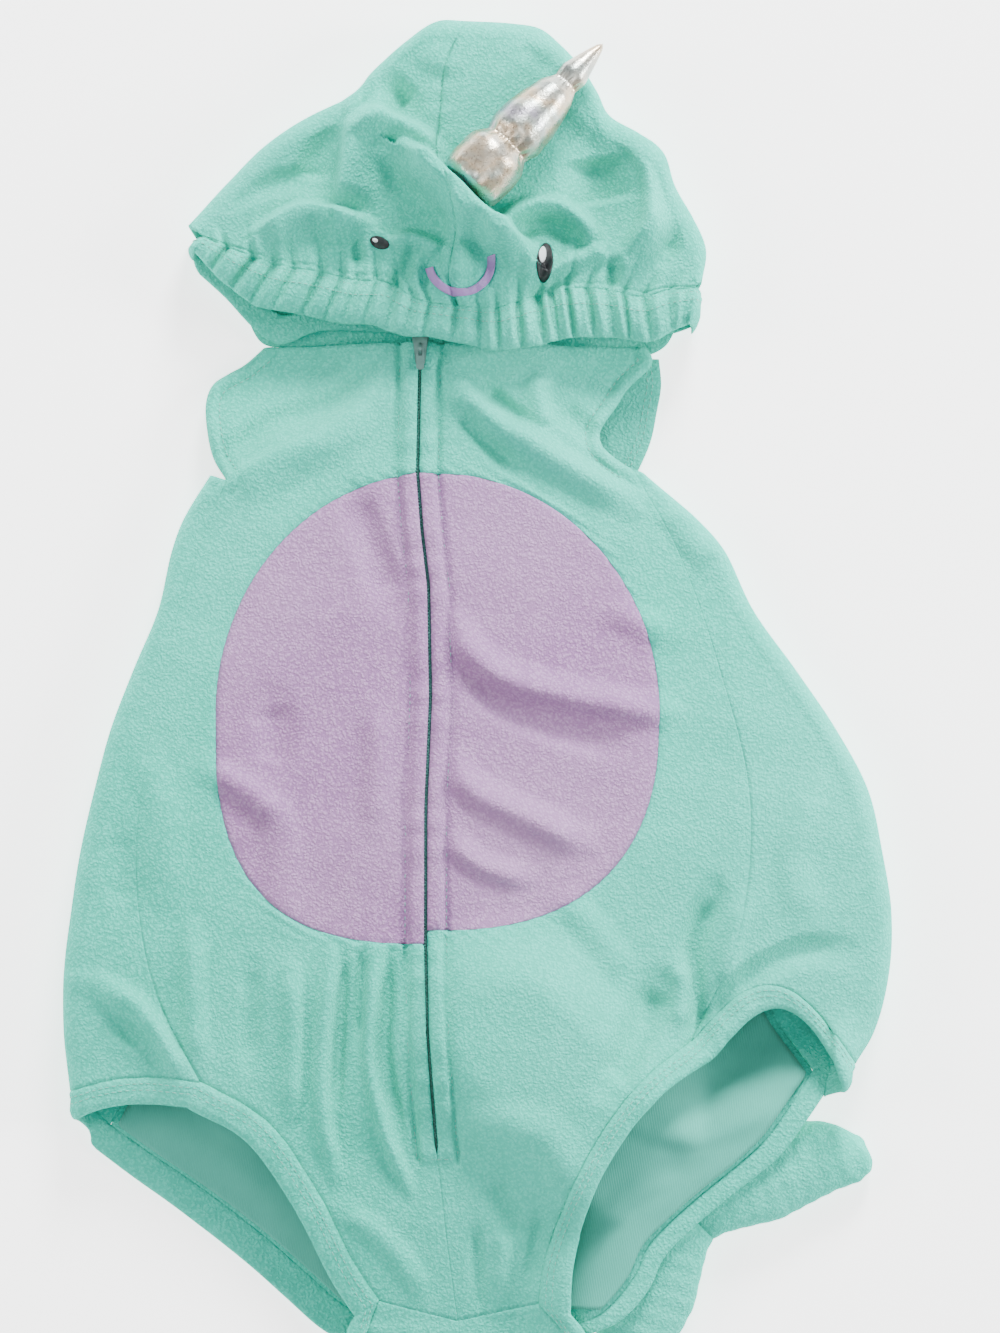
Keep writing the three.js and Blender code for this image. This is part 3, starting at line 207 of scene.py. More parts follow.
bodyFolds = [  # ridges rise above the cloth, valleys sink below it; widths left and right of the way they run
    fold([(-112, 112), (-93, 126), (-74, 133), (-62, 139), (-50, 150)], -3.2, 9, 7),
    fold([(-114, 98), (-88, 112), (-68, 122), (-48, 136)], 3.4, 7, 18),
    fold([(-11, 149), (-3, 136), (8, 126), (21, 119), (33, 111), (50, 101), (68, 91)], 4.6, 9, 12),
    fold([(-7, 131), (4, 118), (16, 106)], -2.4, 7),
    fold([(4, 141), (21, 126)], -2.4, 6),
    fold([(30, 148), (28, 139), (31, 124)], 2.8, 6, 8),
    fold([(38, 133), (54, 118)], -2.4, 8),
    fold([(84, 88), (104, 62)], 1.8, 9),
    fold([(-54, 92), (-46, 68), (-37, 46)], -2.4, 9, 13),
    fold([(-92, -2), (-90, -14), (-93, -28)], -2.6, 13),
    fold([(-118, -30), (-104, -38), (-88, -50)], 3, 7, 11),
    fold([(-45, -4), (-44, -28), (-46, -56)], 2, 9),
    fold([(-12, 33), (0, 18), (13, 9), (30, 4), (47, 0), (82, -6)], 4.2, 12, 8),
    fold([(-4, 8), (22, -8), (60, -20)], -1.8, 9),
    fold([(-12, -29), (0, -42), (15, -49), (45, -64)], 3.2, 11, 8),
    fold([(-12, -63), (0, -73), (20, -80)], 2.4, 9, 6),
    fold([(60, 40), (86, 30)], 1.6, 10),
    fold([(-126, -103), (-126, -130), (-124, -160)], 2.6, 8),
    fold([(-100, -118), (-101, -160)], -1.8, 7),
    fold([(-82, -120), (-81, -150), (-82, -182)], 2.6, 6, 8),
    fold([(-64, -114), (-68, -150), (-68, -183), (-63, -209)], 3.0, 5, 7),
    fold([(-59, -114), (-61, -150), (-62, -178)], -2.2, 4),
    fold([(-45, -111), (-47, -135), (-48, -157), (-44, -180), (-39, -196), (-30, -216)], 3.2, 5),
    fold([(-51, -112), (-53, -150)], -2.0, 3.5),
    fold([(-39, -112), (-40, -158), (-34, -190)], -2.0, 4),
    fold([(-168, -125), (-150, -136), (-137, -155), (-130, -168)], 3.8, 7, 12),
    fold([(-160, -145), (-146, -152), (-140, -164)], -1.8, 7),
    fold([(80, -127), (72, -146), (59, -170)], -4, 12),
    fold([(90, -117), (92, -130), (91, -145)], 3.6, 7),
    fold([(106, -86), (98, -105), (96, -126), (98, -150)], -4, 7, 11),
    fold([(118, -90), (112, -112), (112, -128)], 2.2, 8),
    fold([(96, -145), (109, -131), (124, -119), (144, -110), (162, -109)], -2.8, 7, 10),
    fold([(-8, -190), (14, -189), (32, -192), (40, -216)], 1.5, 13, 11),
    fold([(8, -212), (18, -240)], -1.6, 9),
    fold([(-60, -225), (-40, -240), (-24, -262)], 1.6, 8),
    fold([(40, -90), (58, -110), (66, -122)], 1.8, 10),
    fold([(150, -40), (140, -70), (146, -96)], 1.6, 12),
    fold([(-2, -234), (0, -272)], -1.8, 6),
    fold([(12, -236), (10, -262)], 1.4, 6),
    fold([(-16, -226), (-14, -262)], 1.2, 7),
    fold([(28, -228), (24, -256)], -1.6, 6),
    fold([(-92, -40), (-86, -70), (-88, -96)], 1.2, 12),
    fold([(-150, -20), (-140, -52), (-138, -84)], 1.2, 12),
    fold([(-160, -60), (-156, -90)], -1.2, 12),
]

hoodBase = {"rise": 25, "crest": 6, "crestX": -8, "crestWidth": 48, "folds": 1.15, "ripple": 0.8, "rippleSize": 38,
            "rippleSeed": 2.1, "calmEdge": 4, "calmReach": 15, "lowest": 8, "highest": 61}
hoodFolds = [
    fold([(-53, 281), (-56, 268), (-58, 252), (-61, 231), (-63, 222)], 12, 22, 5),
    fold([(-70, 262), (-72, 248), (-74, 234)], -6, 11),
    fold([(-57, 266), (-44, 263), (-32, 258), (-22, 251), (-17, 240)], 10, 6, 14),
    fold([(-44, 282), (-36, 272), (-31, 268)], -6, 10),
    fold([(-34, 247), (-20, 238), (-8, 227), (0, 219), (10, 211), (22, 201)], 26, 6.5, 15),
    fold([(-10, 226), (-9, 211), (-10, 198), (-13, 188)], 8, 9, 8),
    fold([(-100, 210), (-79, 222), (-64, 219), (-48, 213)], 9, 5, 17),
    fold([(-112, 226), (-92, 234), (-76, 236)], -3, 8),
    fold([(-40, 204), (-31, 208), (-16, 202)], 6, 5, 7),
    fold([(-28, 201), (-35, 192), (-42, 182)], -4, 6),
    fold([(-56, 207), (-53, 198)], -3, 5),
    fold([(-22, 198), (-24, 186)], -3, 4),
    fold([(7, 208), (16, 218), (27, 223), (38, 222), (49, 214), (54, 206)], 8, 6, 8),
    fold([(18, 212), (30, 214), (42, 208)], -4, 6),
    fold([(52, 246), (56, 224)], -9, 19),
    fold([(30, 268), (44, 252)], -3, 12),
    fold([(54, 272), (60, 264), (75, 248), (80, 231), (76, 213), (66, 200)], 12, 14, 8),
    fold([(92, 232), (90, 214), (84, 200)], -4, 7),
    fold([(33, 189), (38, 196), (59, 202)], 4, 6),
    fold([(42, 193), (32, 186), (22, 180)], -4, 5),
    fold([(5, 196), (3, 186)], -3, 5),
    fold([(62, 196), (60, 187)], -3, 5),
    fold([(-30, 298), (-20, 290), (-10, 288)], 2, 9),
    fold([(20, 298), (34, 286)], -2, 9),
]
hood = {
    "centre": [(-9, 177), (-13, 189), (-10, 210), (-14, 230), (-18, 245), (-17, 267), (-15, 285), (-5, 309)],
    "right": {
        "casing": [(-9, 177), (-27, 180), (-40, 188), (-54, 189), (-71, 193), (-89, 196), (-107, 202), (-123, 209)],
        "outline": [(-5, 309), (-18, 309), (-31, 301), (-48, 286), (-56, 276), (-75, 267), (-96, 253), (-113, 236),
                    (-131, 216)],
        "neck": [(-9, 160.2), (-35, 160.9), (-62, 161.7), (-86, 162.4), (-98, 164.5), (-106, 178), (-114, 192),
                 (-123, 205)],
    },
    "left": {
        "casing": [(-9, 177), (8, 176), (20, 180), (37, 185), (58, 185), (73, 182), (85, 185), (97, 186)],
        "outline": [(-5, 309), (16, 308), (28, 306), (38, 298), (47, 288), (54, 277), (59, 267), (73, 258), (84, 249),
                    (89, 234), (97, 220), (103, 205), (101, 190)],
        "neck": [(-9, 160.2), (14, 159.6), (38, 158.9), (60, 158.4), (76, 158.6), (85, 163), (91, 174), (96, 183)],
    },
}
casing = {
    "share": [0, 0.07, 0.15, 0.38, 0.45, 0.53, 0.66, 0.78, 0.92, 1, 2],
    "width": [8, 15, 21, 20, 15, 17, 22, 22, 20, 16.5, 13],
    "heading": [236, 234, 240, 256, 259, 269, 276, 279, 278, 260, 260],
    "lower": [(99, 184), (90, 181), (60, 182), (20, 181), (-30, 181), (-70, 182), (-88, 176), (-100, 184), (-112, 197),
              (-124, 208)],
    "lowerZ": 3.6, "gathers": 25, "depth": 3.3, "swing": 3,
}
horn = {
    "base": (-4, 230, 43), "tip": (56, 295, 34),
    "at": [-3.5, -3, -1.5, 2, 9, 15, 19, 23, 26, 31, 40, 50, 58, 62, 65, 69, 78, 84, 88, 89],
    "radius": [0, 9, 13.2, 14.8, 15.4, 15.6, 14.8, 11.6, 11.4, 13.6, 12.9, 11.0, 9.2, 6.4, 6.0, 7.0, 4.6, 2.7, 1.4, 0],
    "necks": [24.5, 63.5], "puckers": 13, "clearance": 1.6, "pullReach": 2.8, "grooveReach": 1.3, "groove": 0.07,
    "crease": 0.10, "easing": 4, "stations": 130, "around": 96, "fill": 0.85,
}
tail = {
    "notch": (105, -239), "turn": -45, "stem": {"from": -124, "to": -45, "halfWidth": 15, "height": 17.2},
    "across": [-0.15, 6, 16, 27, 43, 55, 64, 71, 76, 78], "lead": [-44.6, -44.4, -42, -36, -26, -17, -10, -3, 5, 11],
    "trail": [0, 2, 8, 15, 20, 24, 28.5, 29, 26, 21], "height": [16.5, 17, 17, 16.5, 16, 15, 14, 12, 9, 5],
}
eyes = {
    "left": {"at": (30, 197), "width": 7.5, "height": 18, "tilt": -4, "glint": (-1.0, 3.6, 3.2, 7.4)},
    "right": {"at": (-44, 205.5), "width": 5.4, "height": 9.2, "tilt": 66, "glint": (-2.0, 1.0, 1.7, 2.6)},
}
smile = {"at": (-8, 197), "radius": 14, "stroke": 3.7, "from": 190, "to": 368}


# Heights of the laid cloth above the floor.

relief = {"folds": 1.75, "ripple": 0.8, "rippleSize": 46, "rippleSeed": 1.3, "calmZip": 5, "calmReach": 9,
          "sideSink": 0.3, "overTail": 0.85}
shoulders = {"from": 112, "reach": 48, "centre": -10, "neck": 30, "neckReach": 42, "z": 4.6}
placket = {"rise": 2.1, "slope": 3.0, "groove": 2.0, "grooveWidth": 1.3, "endGroove": 1.3, "endWidth": 1.2,
           "endBelow": 3, "wave": 0.5, "waveReach": 11}


def zipX(y):
    return np.interp(y, zipLine["y"][::-1], zipLine["x"][::-1])


def outlineX(side, y):
    line = np.array(sides[side]["outline"], float)
    return np.interp(y, line[::-1, 1], line[::-1, 0])


def underside(x, y):  # the tail under the back lifts the cloth
    lift = np.zeros(x.shape)
    for capsule in tailLift["capsules"]:
        gap, _, _ = pathDistance(x, y, [capsule["from"], capsule["to"]])
        lift = np.maximum(lift, smooth(1 - (gap - capsule["radius"]) / tailLift["reach"]))
    return tailLift["rise"] * lift


def bodyBase(x, y):
    left, right = outlineX("left", y), outlineX("right", y)
    across = np.minimum(1, np.abs(x - (left + right) / 2) / ((left - right) / 2))
    loft = np.interp(y, bodyLoft["y"], bodyLoft["rise"]) * (1 - relief["sideSink"] * across ** 3)
    return loft + relief["overTail"] * underside(x, y)


def bodyTop(x, y):
    gap = np.abs(x - zipX(y))
    calm = smooth((gap - relief["calmZip"]) / relief["calmReach"])
    uneven = relief["ripple"] * ripple(x, y, relief["rippleSize"], relief["rippleSeed"])
    z = bodyBase(x, y) + (foldHeights(bodyFolds, x, y, relief["folds"]) + uneven) * calm
    shoulder = smooth((np.abs(x - shoulders["centre"]) - shoulders["neck"]) / shoulders["neckReach"])
    z = mix(z, shoulders["z"], shoulder * smooth((y - shoulders["from"]) / shoulders["reach"]))
    above = y - zipPlan["end"]  # the placket is a stitched strip each side of the zip
    along = smooth((above + 6) / 4)
    stitched = zipPlan["topstitch"]
    z += along * placket["rise"] * smooth((stitched - 0.5 - gap) / placket["slope"])
    z -= along * placket["groove"] * bell(gap - stitched, placket["grooveWidth"])
    endGroove = placket["endGroove"] * bell(above + placket["endBelow"], placket["endWidth"])
    z -= endGroove * smooth((stitched + 0.5 - gap) / 1.5)
    wave = placket["wave"] * np.sin(y * 0.33 + 2 * np.sin(y * 0.11))
    return z + along * wave * smooth((placket["waveReach"] - gap) / 6)


hornStart = np.array(horn["base"], float)
hornEnd = np.array(horn["tip"], float)
hornPlan = float(np.hypot(*(hornEnd - hornStart)[:2]))
hornWay = (hornEnd - hornStart)[:2] / hornPlan


def hornFloor(x, y):  # the hood dips to let the horn lie in it
    along = (x - hornStart[0]) * hornWay[0] + (y - hornStart[1]) * hornWay[1]
    across = np.abs((y - hornStart[1]) * hornWay[0] - (x - hornStart[0]) * hornWay[1])
    radius = np.interp(np.maximum(3, along), horn["at"], horn["radius"]) + horn["clearance"]
    axisZ = mix(hornStart[2], hornEnd[2], np.clip(along / hornPlan, 0, 1))
    floor = axisZ - np.sqrt(np.clip(radius ** 2 - across ** 2, 0, None))
    clear = (along < -1.5) | (along > hornPlan + 3) | (across >= radius)
    return np.where(clear, 1e3, floor)


crownLines = [spaced(hood[side]["outline"], 30) for side in sides]


def hoodTop(x, y):
    z = hoodBase["rise"] + hoodBase["crest"] * bell(x - hoodBase["crestX"], hoodBase["crestWidth"])
    inward = np.minimum(*[pathDistance(x, y, line)[0] for line in crownLines])
    uneven = hoodBase["ripple"] * ripple(x, y, hoodBase["rippleSize"], hoodBase["rippleSeed"])
    folded = foldHeights(hoodFolds, x, y, hoodBase["folds"]) + uneven
    z = z + folded * smooth((inward - hoodBase["calmEdge"]) / hoodBase["calmReach"])
    return np.clip(np.minimum(z, hornFloor(x, y)), hoodBase["lowest"], hoodBase["highest"])


# Seam lines of the belly and the front.

def bellySeam(side, degrees):
    half = belly[side]
    sine, cosine = np.sin(np.radians(degrees)), np.cos(np.radians(degrees))
    power = np.where(cosine >= 0, 2.0, mix(2.0, half["round"], smooth(-cosine * 4)))
    reach = (np.abs(sine) ** power + np.abs(cosine) ** power) ** (-1 / power)
    x = belly["x"] + sides[side]["sign"] * reach * sine * half["reach"]
    return np.stack([x, belly["y"] + reach * cosine * np.where(cosine >= 0, belly["rise"], half["drop"])], 1)


def innerEdge(side, y):
    slit = zipPlan["slit"] * smooth((y - zipPlan["end"] + 2) / 6)
    return np.stack([zipX(y) + sides[side]["sign"] * (slit + 0.02), y], 1)


def bellyEnds(side):
    return float(belly["y"] + belly["rise"]), float(belly["y"] - belly[side]["drop"])


def bellyLine(side, share):  # from the zip, round the belly, and back to the zip
    step = 1 / rowShare["arc"]
    point = bellySeam(side, mix(*belly[side]["span"], np.clip((share - step) / (1 - 2 * step), 0, 1)))
    first, last = (innerEdge(side, np.full(share.shape, end)) for end in bellyEnds(side))
    share = share[:, None]
    point = np.where(share > 1 - step, mix(last, point, np.clip((1 - share) / step, 0, 1)), point)
    return np.where(share < step, mix(first, point, np.clip(share / step, 0, 1)), point)


def frontInner(side, u):
    top, bottom = bellyEnds(side)
    start, arc, centre = rowShare["zip"], rowShare["arc"], rowShare["centre"]
    row = u * (start + arc + centre)
    above = innerEdge(side, mix(float(zipPlan["top"]), top, np.clip(row / start, 0, 1)))
    beside = bellyLine(side, np.clip((row - start) / arc, 0, 1))
    below = innerEdge(side, mix(bottom, float(zipLine["y"][-1]), np.clip((row - start - arc) / centre, 0, 1)))
    row = row[:, None]
    return np.where(row < start, above, np.where(row > start + arc, below, beside))


lines = {}
for side, part in sides.items():
    lines[side] = {key: spaced(path, 240) for key, path in part.items() if isinstance(path, list)}
    lines[side].update({key: spaced(hood[side][key], 240) for key in ("casing", "neck")})
    lines[side]["crown"] = spaced(hood[side]["outline"], 240)


def chain(side, keys, u):  # three lines, one after the other
    counts = [rowShare[key] for key in ("armhole", "seam", "leg")]
    row = u * sum(counts)
    start, end = counts[0], counts[0] + counts[1]
    shares = (row / start, (row - start) / counts[1], (row - end) / counts[2])
    first, second, third = (lineAt(lines[side][key], share) for key, share in zip(keys, shares))
    row = row[:, None]
    return np.where(row < start, first, np.where(row > end, third, second))


def edgeDrop(gap, reach=cloth["edgeRoll"], drop=cloth["edgeDrop"]):  # cloth rolls down into a seam or a hem
    return -drop * np.clip(1 - gap / reach, 0, 1) ** 2


def raised(line, height):
    return np.column_stack([line, height(line[:, 0], line[:, 1])])


# Helpers for meshes.

def makeObject(name, bm, material, nodes=()):
    mesh = bpy.data.meshes.new(name)
    bm.to_mesh(mesh)
    bm.free()
    obj = bpy.data.objects.new(name, mesh)
    bpy.context.scene.collection.objects.link(obj)
    mesh.materials.append(material)
    mesh.polygons.foreach_set("use_smooth", [True] * len(mesh.polygons))
    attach(obj, "costume")
    if nodes:
        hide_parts(*nodes)
    return obj


def placeGrid(grid, place, closeRows=False, closeColumns=False, capped=False):
    bm = bmesh.new()
    bmesh.ops.create_grid(bm, x_segments=grid[0], y_segments=grid[1], size=0.5)
    share = np.array([(v.co.x, v.co.y) for v in bm.verts]) + 0.5
    points = place(np.clip(share[:, 0], 0, 1), np.clip(share[:, 1], 0, 1)) * mm
    for vert, point in zip(bm.verts, points):
        vert.co = Vector(point) + planShift
    if closeRows or closeColumns:
        bmesh.ops.remove_doubles(bm, verts=bm.verts, dist=1e-6)
    bm.normal_update()
    if capped:
        bmesh.ops.holes_fill(bm, edges=[edge for edge in bm.edges if edge.is_boundary], sides=0)
    if closeColumns:
        bmesh.ops.recalc_face_normals(bm, faces=bm.faces)
        return bm
    raisedFaces = [face for face in bm.faces if face.calc_center_median().z > cloth["topFrom"] * mm]
    if sum(face.normal.z * face.calc_area() for face in raisedFaces) < 0:
        bmesh.ops.reverse_faces(bm, faces=bm.faces)
    return bm


def makeCloth(name, grid, place, material, nodes=(), wall=cloth["wall"], closeRows=False):
    obj = makeObject(name, placeGrid(grid, place, closeRows), material, nodes)
    solid = obj.modifiers.new("wall", "SOLIDIFY")
    solid.thickness = wall * mm
    solid.offset = -1
    solid.use_even_offset = False
    return obj


# Materials.

def newGroup(name, inputs, outputs):
    group = bpy.data.node_groups.new(name, "ShaderNodeTree")
    for direction, labels in (("INPUT", inputs), ("OUTPUT", outputs)):
        for label, kind in labels.items():
            group.interface.new_socket(name=label, in_out=direction, socket_type="NodeSocket" + kind)
    return group, group.nodes.new("NodeGroupInput").outputs, group.nodes.new("NodeGroupOutput").inputs


def feed(tree, socket, value):  # a link from another node, or a plain value
    if isinstance(value, bpy.types.NodeSocket):
        tree.links.new(value, socket)
    elif socket.type == "RGBA":
        socket.default_value = (*value, 1)
    else:
        socket.default_value = value


def addNode(tree, kind, values, **settings):
    node = tree.nodes.new(kind)
    for key, value in settings.items():
        setattr(node, key, value)
    for key, value in values.items():
        feed(tree, node.inputs[key], value)
    return node


def noise(tree, vector, scale, detail=3.0, roughness=0.55, output="Fac"):
    values = {"Vector": vector, "Scale": scale, "Detail": detail, "Roughness": roughness}
    return addNode(tree, "ShaderNodeTexNoise", values).outputs[output]


def weigh(tree, *parts):  # a sum of maps, each with its weight
    total = 0.0
    for value, weight in parts:
        total = addNode(tree, "ShaderNodeMath", {0: value, 1: weight, 2: total}, operation="MULTIPLY_ADD").outputs[0]
    return total


def spread(tree, value, fromLow, fromHigh, toLow, toHigh):
    values = {0: value, 1: fromLow, 2: fromHigh, 3: toLow, 4: toHigh}
    return addNode(tree, "ShaderNodeMapRange", values).outputs[0]


def mixColour(tree, factor, a, b):
    return addNode(tree, "ShaderNodeMix", {0: factor, 6: a, 7: b}, data_type="RGBA").outputs[2]


def bump(tree, height, strength, distance):
    values = {"Height": height, "Strength": strength, "Distance": distance}
    return addNode(tree, "ShaderNodeBump", values).outputs["Normal"]


def makePileGroup():  # curled fleece pile: small pills over random tone, with painted shade in the pits between them and painted highlights on their tops
    group, given, result = newGroup(
        "fleecePile", {"Vector": "Vector", "Colour": "Color", "Light": "Color", "Dark": "Color", "Curl": "Float",
                       "Depth": "Float"}, {"Colour": "Color", "Roughness": "Float", "Normal": "Vector"})
    vector = given["Vector"]
    warp = noise(group, vector, 260, 2, output="Color")
    shifted = addNode(group, "ShaderNodeMix", {0: 0.0025, 4: vector, 5: warp}, data_type="VECTOR").outputs[1]
    curls = addNode(group, "ShaderNodeTexVoronoi", {"Smoothness": 0.6, "Vector": shifted, "Scale": given["Curl"]},
                    feature="SMOOTH_F1")
    # painted shade: the distance from a curl's centre marks the pits, which sink in the bump and are darkened in the
    # colour
    pitDepthAndShade = spread(group, curls.outputs["Distance"], 0.15, 0.62, 0.0, 1.0)
    fibre = noise(group, vector, 1500, 4, 0.7)
    patch = noise(group, vector, 130, 4, 0.6)
    broad = noise(group, vector, 9, 2, 0.5)
    lumps = weigh(group, (fibre, 0.75), (pitDepthAndShade, -0.62), (patch, 0.8))
    # painted shade and highlight: the colour is darker in the pits and lighter on the pill tops, over random fibre and
    # patch tone
    toneAndPaintedShading = spread(group, weigh(group, (fibre, 0.7), (pitDepthAndShade, -0.34), (patch, 0.38)), 0.18, 0.62, 0.0, 1.0)
    darker = mixColour(group, spread(group, toneAndPaintedShading, 0.0, 0.5, 0.62, 0.0), given["Colour"], given["Dark"])
    lighter = mixColour(group, spread(group, toneAndPaintedShading, 0.45, 1.0, 0.0, 0.45), darker, given["Light"])
    drift = mixColour(group, spread(group, broad, 0.35, 0.7, 0.0, 0.3), lighter, given["Light"])
    feed(group, result["Colour"], drift)
    feed(group, result["Roughness"], spread(group, toneAndPaintedShading, 0.0, 1.0, 1.0, 0.86))
    feed(group, result["Normal"], bump(group, lumps, 0.62, given["Depth"]))
    return group


def makeThreadGroup():  # fine yarns side by side, along one direction of the vector, with painted shade in the grooves between them
    group, given, result = newGroup(
        "threadRows", {"Vector": "Vector", "Colour": "Color", "Dark": "Color", "Rows": "Float", "Depth": "Float"},
        {"Colour": "Color", "Normal": "Vector"})
    vector = given["Vector"]
    waveValues = {"Distortion": 1.1, "Detail": 2, "Detail Scale": 1.5, "Vector": vector, "Scale": given["Rows"]}
    wave = addNode(group, "ShaderNodeTexWave", waveValues, wave_type="BANDS", bands_direction="X").outputs["Fac"]
    height = weigh(group, (wave, 1.0), (noise(group, vector, 700, 3), 0.7))
    # painted shade: the colour darkens where the yarn rows dip, over random tone from the broad noise
    rowShadeAndTone = weigh(group, (wave, 0.5), (noise(group, vector, 60, 3), 0.6))
    colour = mixColour(group, spread(group, rowShadeAndTone, 0.25, 0.85, 0.6, 0.0), given["Colour"], given["Dark"])
    feed(group, result["Colour"], colour)
    feed(group, result["Normal"], bump(group, height, 0.5, given["Depth"]))
    return group


def startMaterial(name, values):
    material = bpy.data.materials.new(name)
    material.use_nodes = True
    tree = material.node_tree
    shader = tree.nodes["Principled BSDF"]
    for key, value in values.items():
        feed(tree, shader.inputs[key], value)
    return material, tree, shader.inputs


def objectPlace(tree):
    return tree.nodes.new("ShaderNodeTexCoord").outputs["Object"]


pileGroup = makePileGroup()
threadGroup = makeThreadGroup()
# Dark is the colour of the painted shade in the pits and Light that of the painted highlights on the pills, which also
# tints a broad random drift
fleeces = {
    "aquaFleece": {"Colour": (0.045, 0.610, 0.460), "Light": (0.12, 0.74, 0.60), "Dark": (0.012, 0.42, 0.30),
                   "Curl": 700.0, "Depth": 0.0011},
    "lilacFleece": {"Colour": (0.385, 0.215, 0.420), "Light": (0.55, 0.37, 0.59), "Dark": (0.25, 0.11, 0.28),
                    "Curl": 720.0, "Depth": 0.0011},
}
threads = {  # colour, darker colour painted as shade between the yarns, rows a metre, depth, turn of the rows, and the cloth's own shine
    "liningKnit": ((0.075, 0.46, 0.36), (0.045, 0.33, 0.26), 420.0, 0.00025, 0.12,
                   {"Roughness": 0.9, "Sheen Weight": 0.15, "Specular IOR Level": 0.2}),
    "zipTapeWeave": ((0.10, 0.36, 0.31), (0.12, 0.32, 0.28), 900.0, 0.0003, 1.57, {"Roughness": 0.8}),
    "aquaThread": ((0.20, 0.60, 0.50), (0.10, 0.40, 0.33), 1600.0, 0.0002, 0.6,
                   {"Roughness": 0.5, "Sheen Weight": 0.2}),
    "eyeThread": ((0.006, 0.007, 0.010), (0.002, 0.002, 0.003), 700.0, 0.0003, 1.4, {"Roughness": 0.42}),
    "glintThread": ((0.86, 0.90, 0.92), (0.6, 0.64, 0.68), 700.0, 0.0003, 1.4, {"Roughness": 0.5}),
    "smileThread": ((0.40, 0.22, 0.55), (0.27, 0.13, 0.40), 700.0, 0.0003, 0.8,
                    {"Roughness": 0.4, "Sheen Weight": 0.2}),
}


def fleeceMaterial(name):
    tones = fleeces[name]
    tint = tuple(min(1, c * 1.2 + 0.05) for c in tones["Light"])
    material, tree, shader = startMaterial(name, {"Sheen Weight": 0.16, "Sheen Roughness": 0.5, "Sheen Tint": tint,
                                                  "Specular IOR Level": 0.18})
    pile = addNode(tree, "ShaderNodeGroup", {**tones, "Vector": objectPlace(tree)}, node_tree=pileGroup)
    for key, label in (("Colour", "Base Color"), ("Roughness", "Roughness"), ("Normal", "Normal")):
        feed(tree, shader[label], pile.outputs[key])
    return material


def threadMaterial(name):
    colour, dark, rows, depth, turn, shine = threads[name]
    material, tree, shader = startMaterial(name, shine)
    turned = addNode(tree, "ShaderNodeMapping", {"Rotation": (0, 0, turn), "Vector": objectPlace(tree)})
    values = {"Colour": colour, "Dark": dark, "Rows": rows, "Depth": depth, "Vector": turned.outputs["Vector"]}
    yarns = addNode(tree, "ShaderNodeGroup", values, node_tree=threadGroup)
    feed(tree, shader["Base Color"], yarns.outputs["Colour"])
    feed(tree, shader["Normal"], yarns.outputs["Normal"])
    return material


foil = {"tints": [(0.30, (0.33, 0.37, 0.35)), (0.42, (0.52, 0.50, 0.43)), (0.52, (0.54, 0.42, 0.29)),
                  (0.60, (0.46, 0.51, 0.46)), (0.70, (0.40, 0.38, 0.44))]}


def silverMaterial():  # foil-coated cloth with champagne and faint rainbow tints
    material, tree, shader = startMaterial("silverCloth", {"Specular IOR Level": 0.6, "Coat Roughness": 0.25})
    place = objectPlace(tree)
    crumple = noise(tree, place, 120, 5, 0.62)
    fine = noise(tree, place, 900, 3, 0.6)
    ramp = addNode(tree, "ShaderNodeValToRGB", {"Fac": noise(tree, place, 48, 3, 0.5)})
    stops = ramp.color_ramp.elements
    while len(stops) < len(foil["tints"]):
        stops.new(0.5)
    for stop, (position, colour) in zip(stops, foil["tints"]):
        stop.position = position
        stop.color = (*colour, 1)
    feed(tree, shader["Base Color"], ramp.outputs["Color"])
    feed(tree, shader["Metallic"], spread(tree, crumple, 0.3, 0.7, 0.72, 0.96))
    feed(tree, shader["Roughness"], spread(tree, fine, 0.3, 0.7, 0.22, 0.42))
    feed(tree, shader["Normal"], bump(tree, weigh(tree, (crumple, 1.0), (fine, 0.22)), 0.55, 0.0009))
    return material


enamel = {"colour": (0.075, 0.19, 0.17), "worn": (0.16, 0.30, 0.28)}


def metalMaterial():
    material, tree, shader = startMaterial("enamelledZip", {"Specular IOR Level": 0.6})
    place = objectPlace(tree)
    speck = noise(tree, place, 900, 3)
    wear = noise(tree, place, 320, 4)
    worn = spread(tree, wear, 0.35, 0.7, 0.0, 0.5)
    feed(tree, shader["Base Color"], mixColour(tree, worn, enamel["colour"], enamel["worn"]))
    feed(tree, shader["Metallic"], spread(tree, wear, 0.3, 0.7, 0.2, 0.45))
    feed(tree, shader["Roughness"], spread(tree, speck, 0.3, 0.7, 0.28, 0.44))
    return material


aqua, lilac = (fleeceMaterial(name) for name in fleeces)
lining, tapeCloth, thread, eyeThread, glintThread, smileThread = (threadMaterial(name) for name in threads)
silver = silverMaterial()
metal = metalMaterial()
print("materials ready")


# Front, belly, back and lining.

grids = {"front": (230, 58), "belly": (130, 46), "back": (150, 100), "lining": (90, 90), "side": (150, 54),
         "crotch": (60, 24), "hood": (120, 150), "legBand": (420, 26), "casing": (900, 34), "patch": (48, 12),
         "smile": (90, 16), "fluke": (90, 56), "stem": (60, 48), "tape": (120, 10)}
hem = {"turn": 6.0, "groove": 0.7, "grooveWidth": 0.9, "swell": 1.1}
seamPucker = {"reach": 5, "belly": 0.4, "bellyWave": 0.62, "side": 0.1, "sideWave": 0.55}


def bellyGap(x, y):
    share = np.linspace(0, 1, 90)
    return np.minimum(*[pathDistance(x, y, bellyLine(side, share))[0] for side in sides])


def placeOnBody(point, seams):
    placed = raised(point, bodyTop)
    for gap, drop in seams:
        placed[:, 2] += edgeDrop(gap, drop=drop)
    return placed


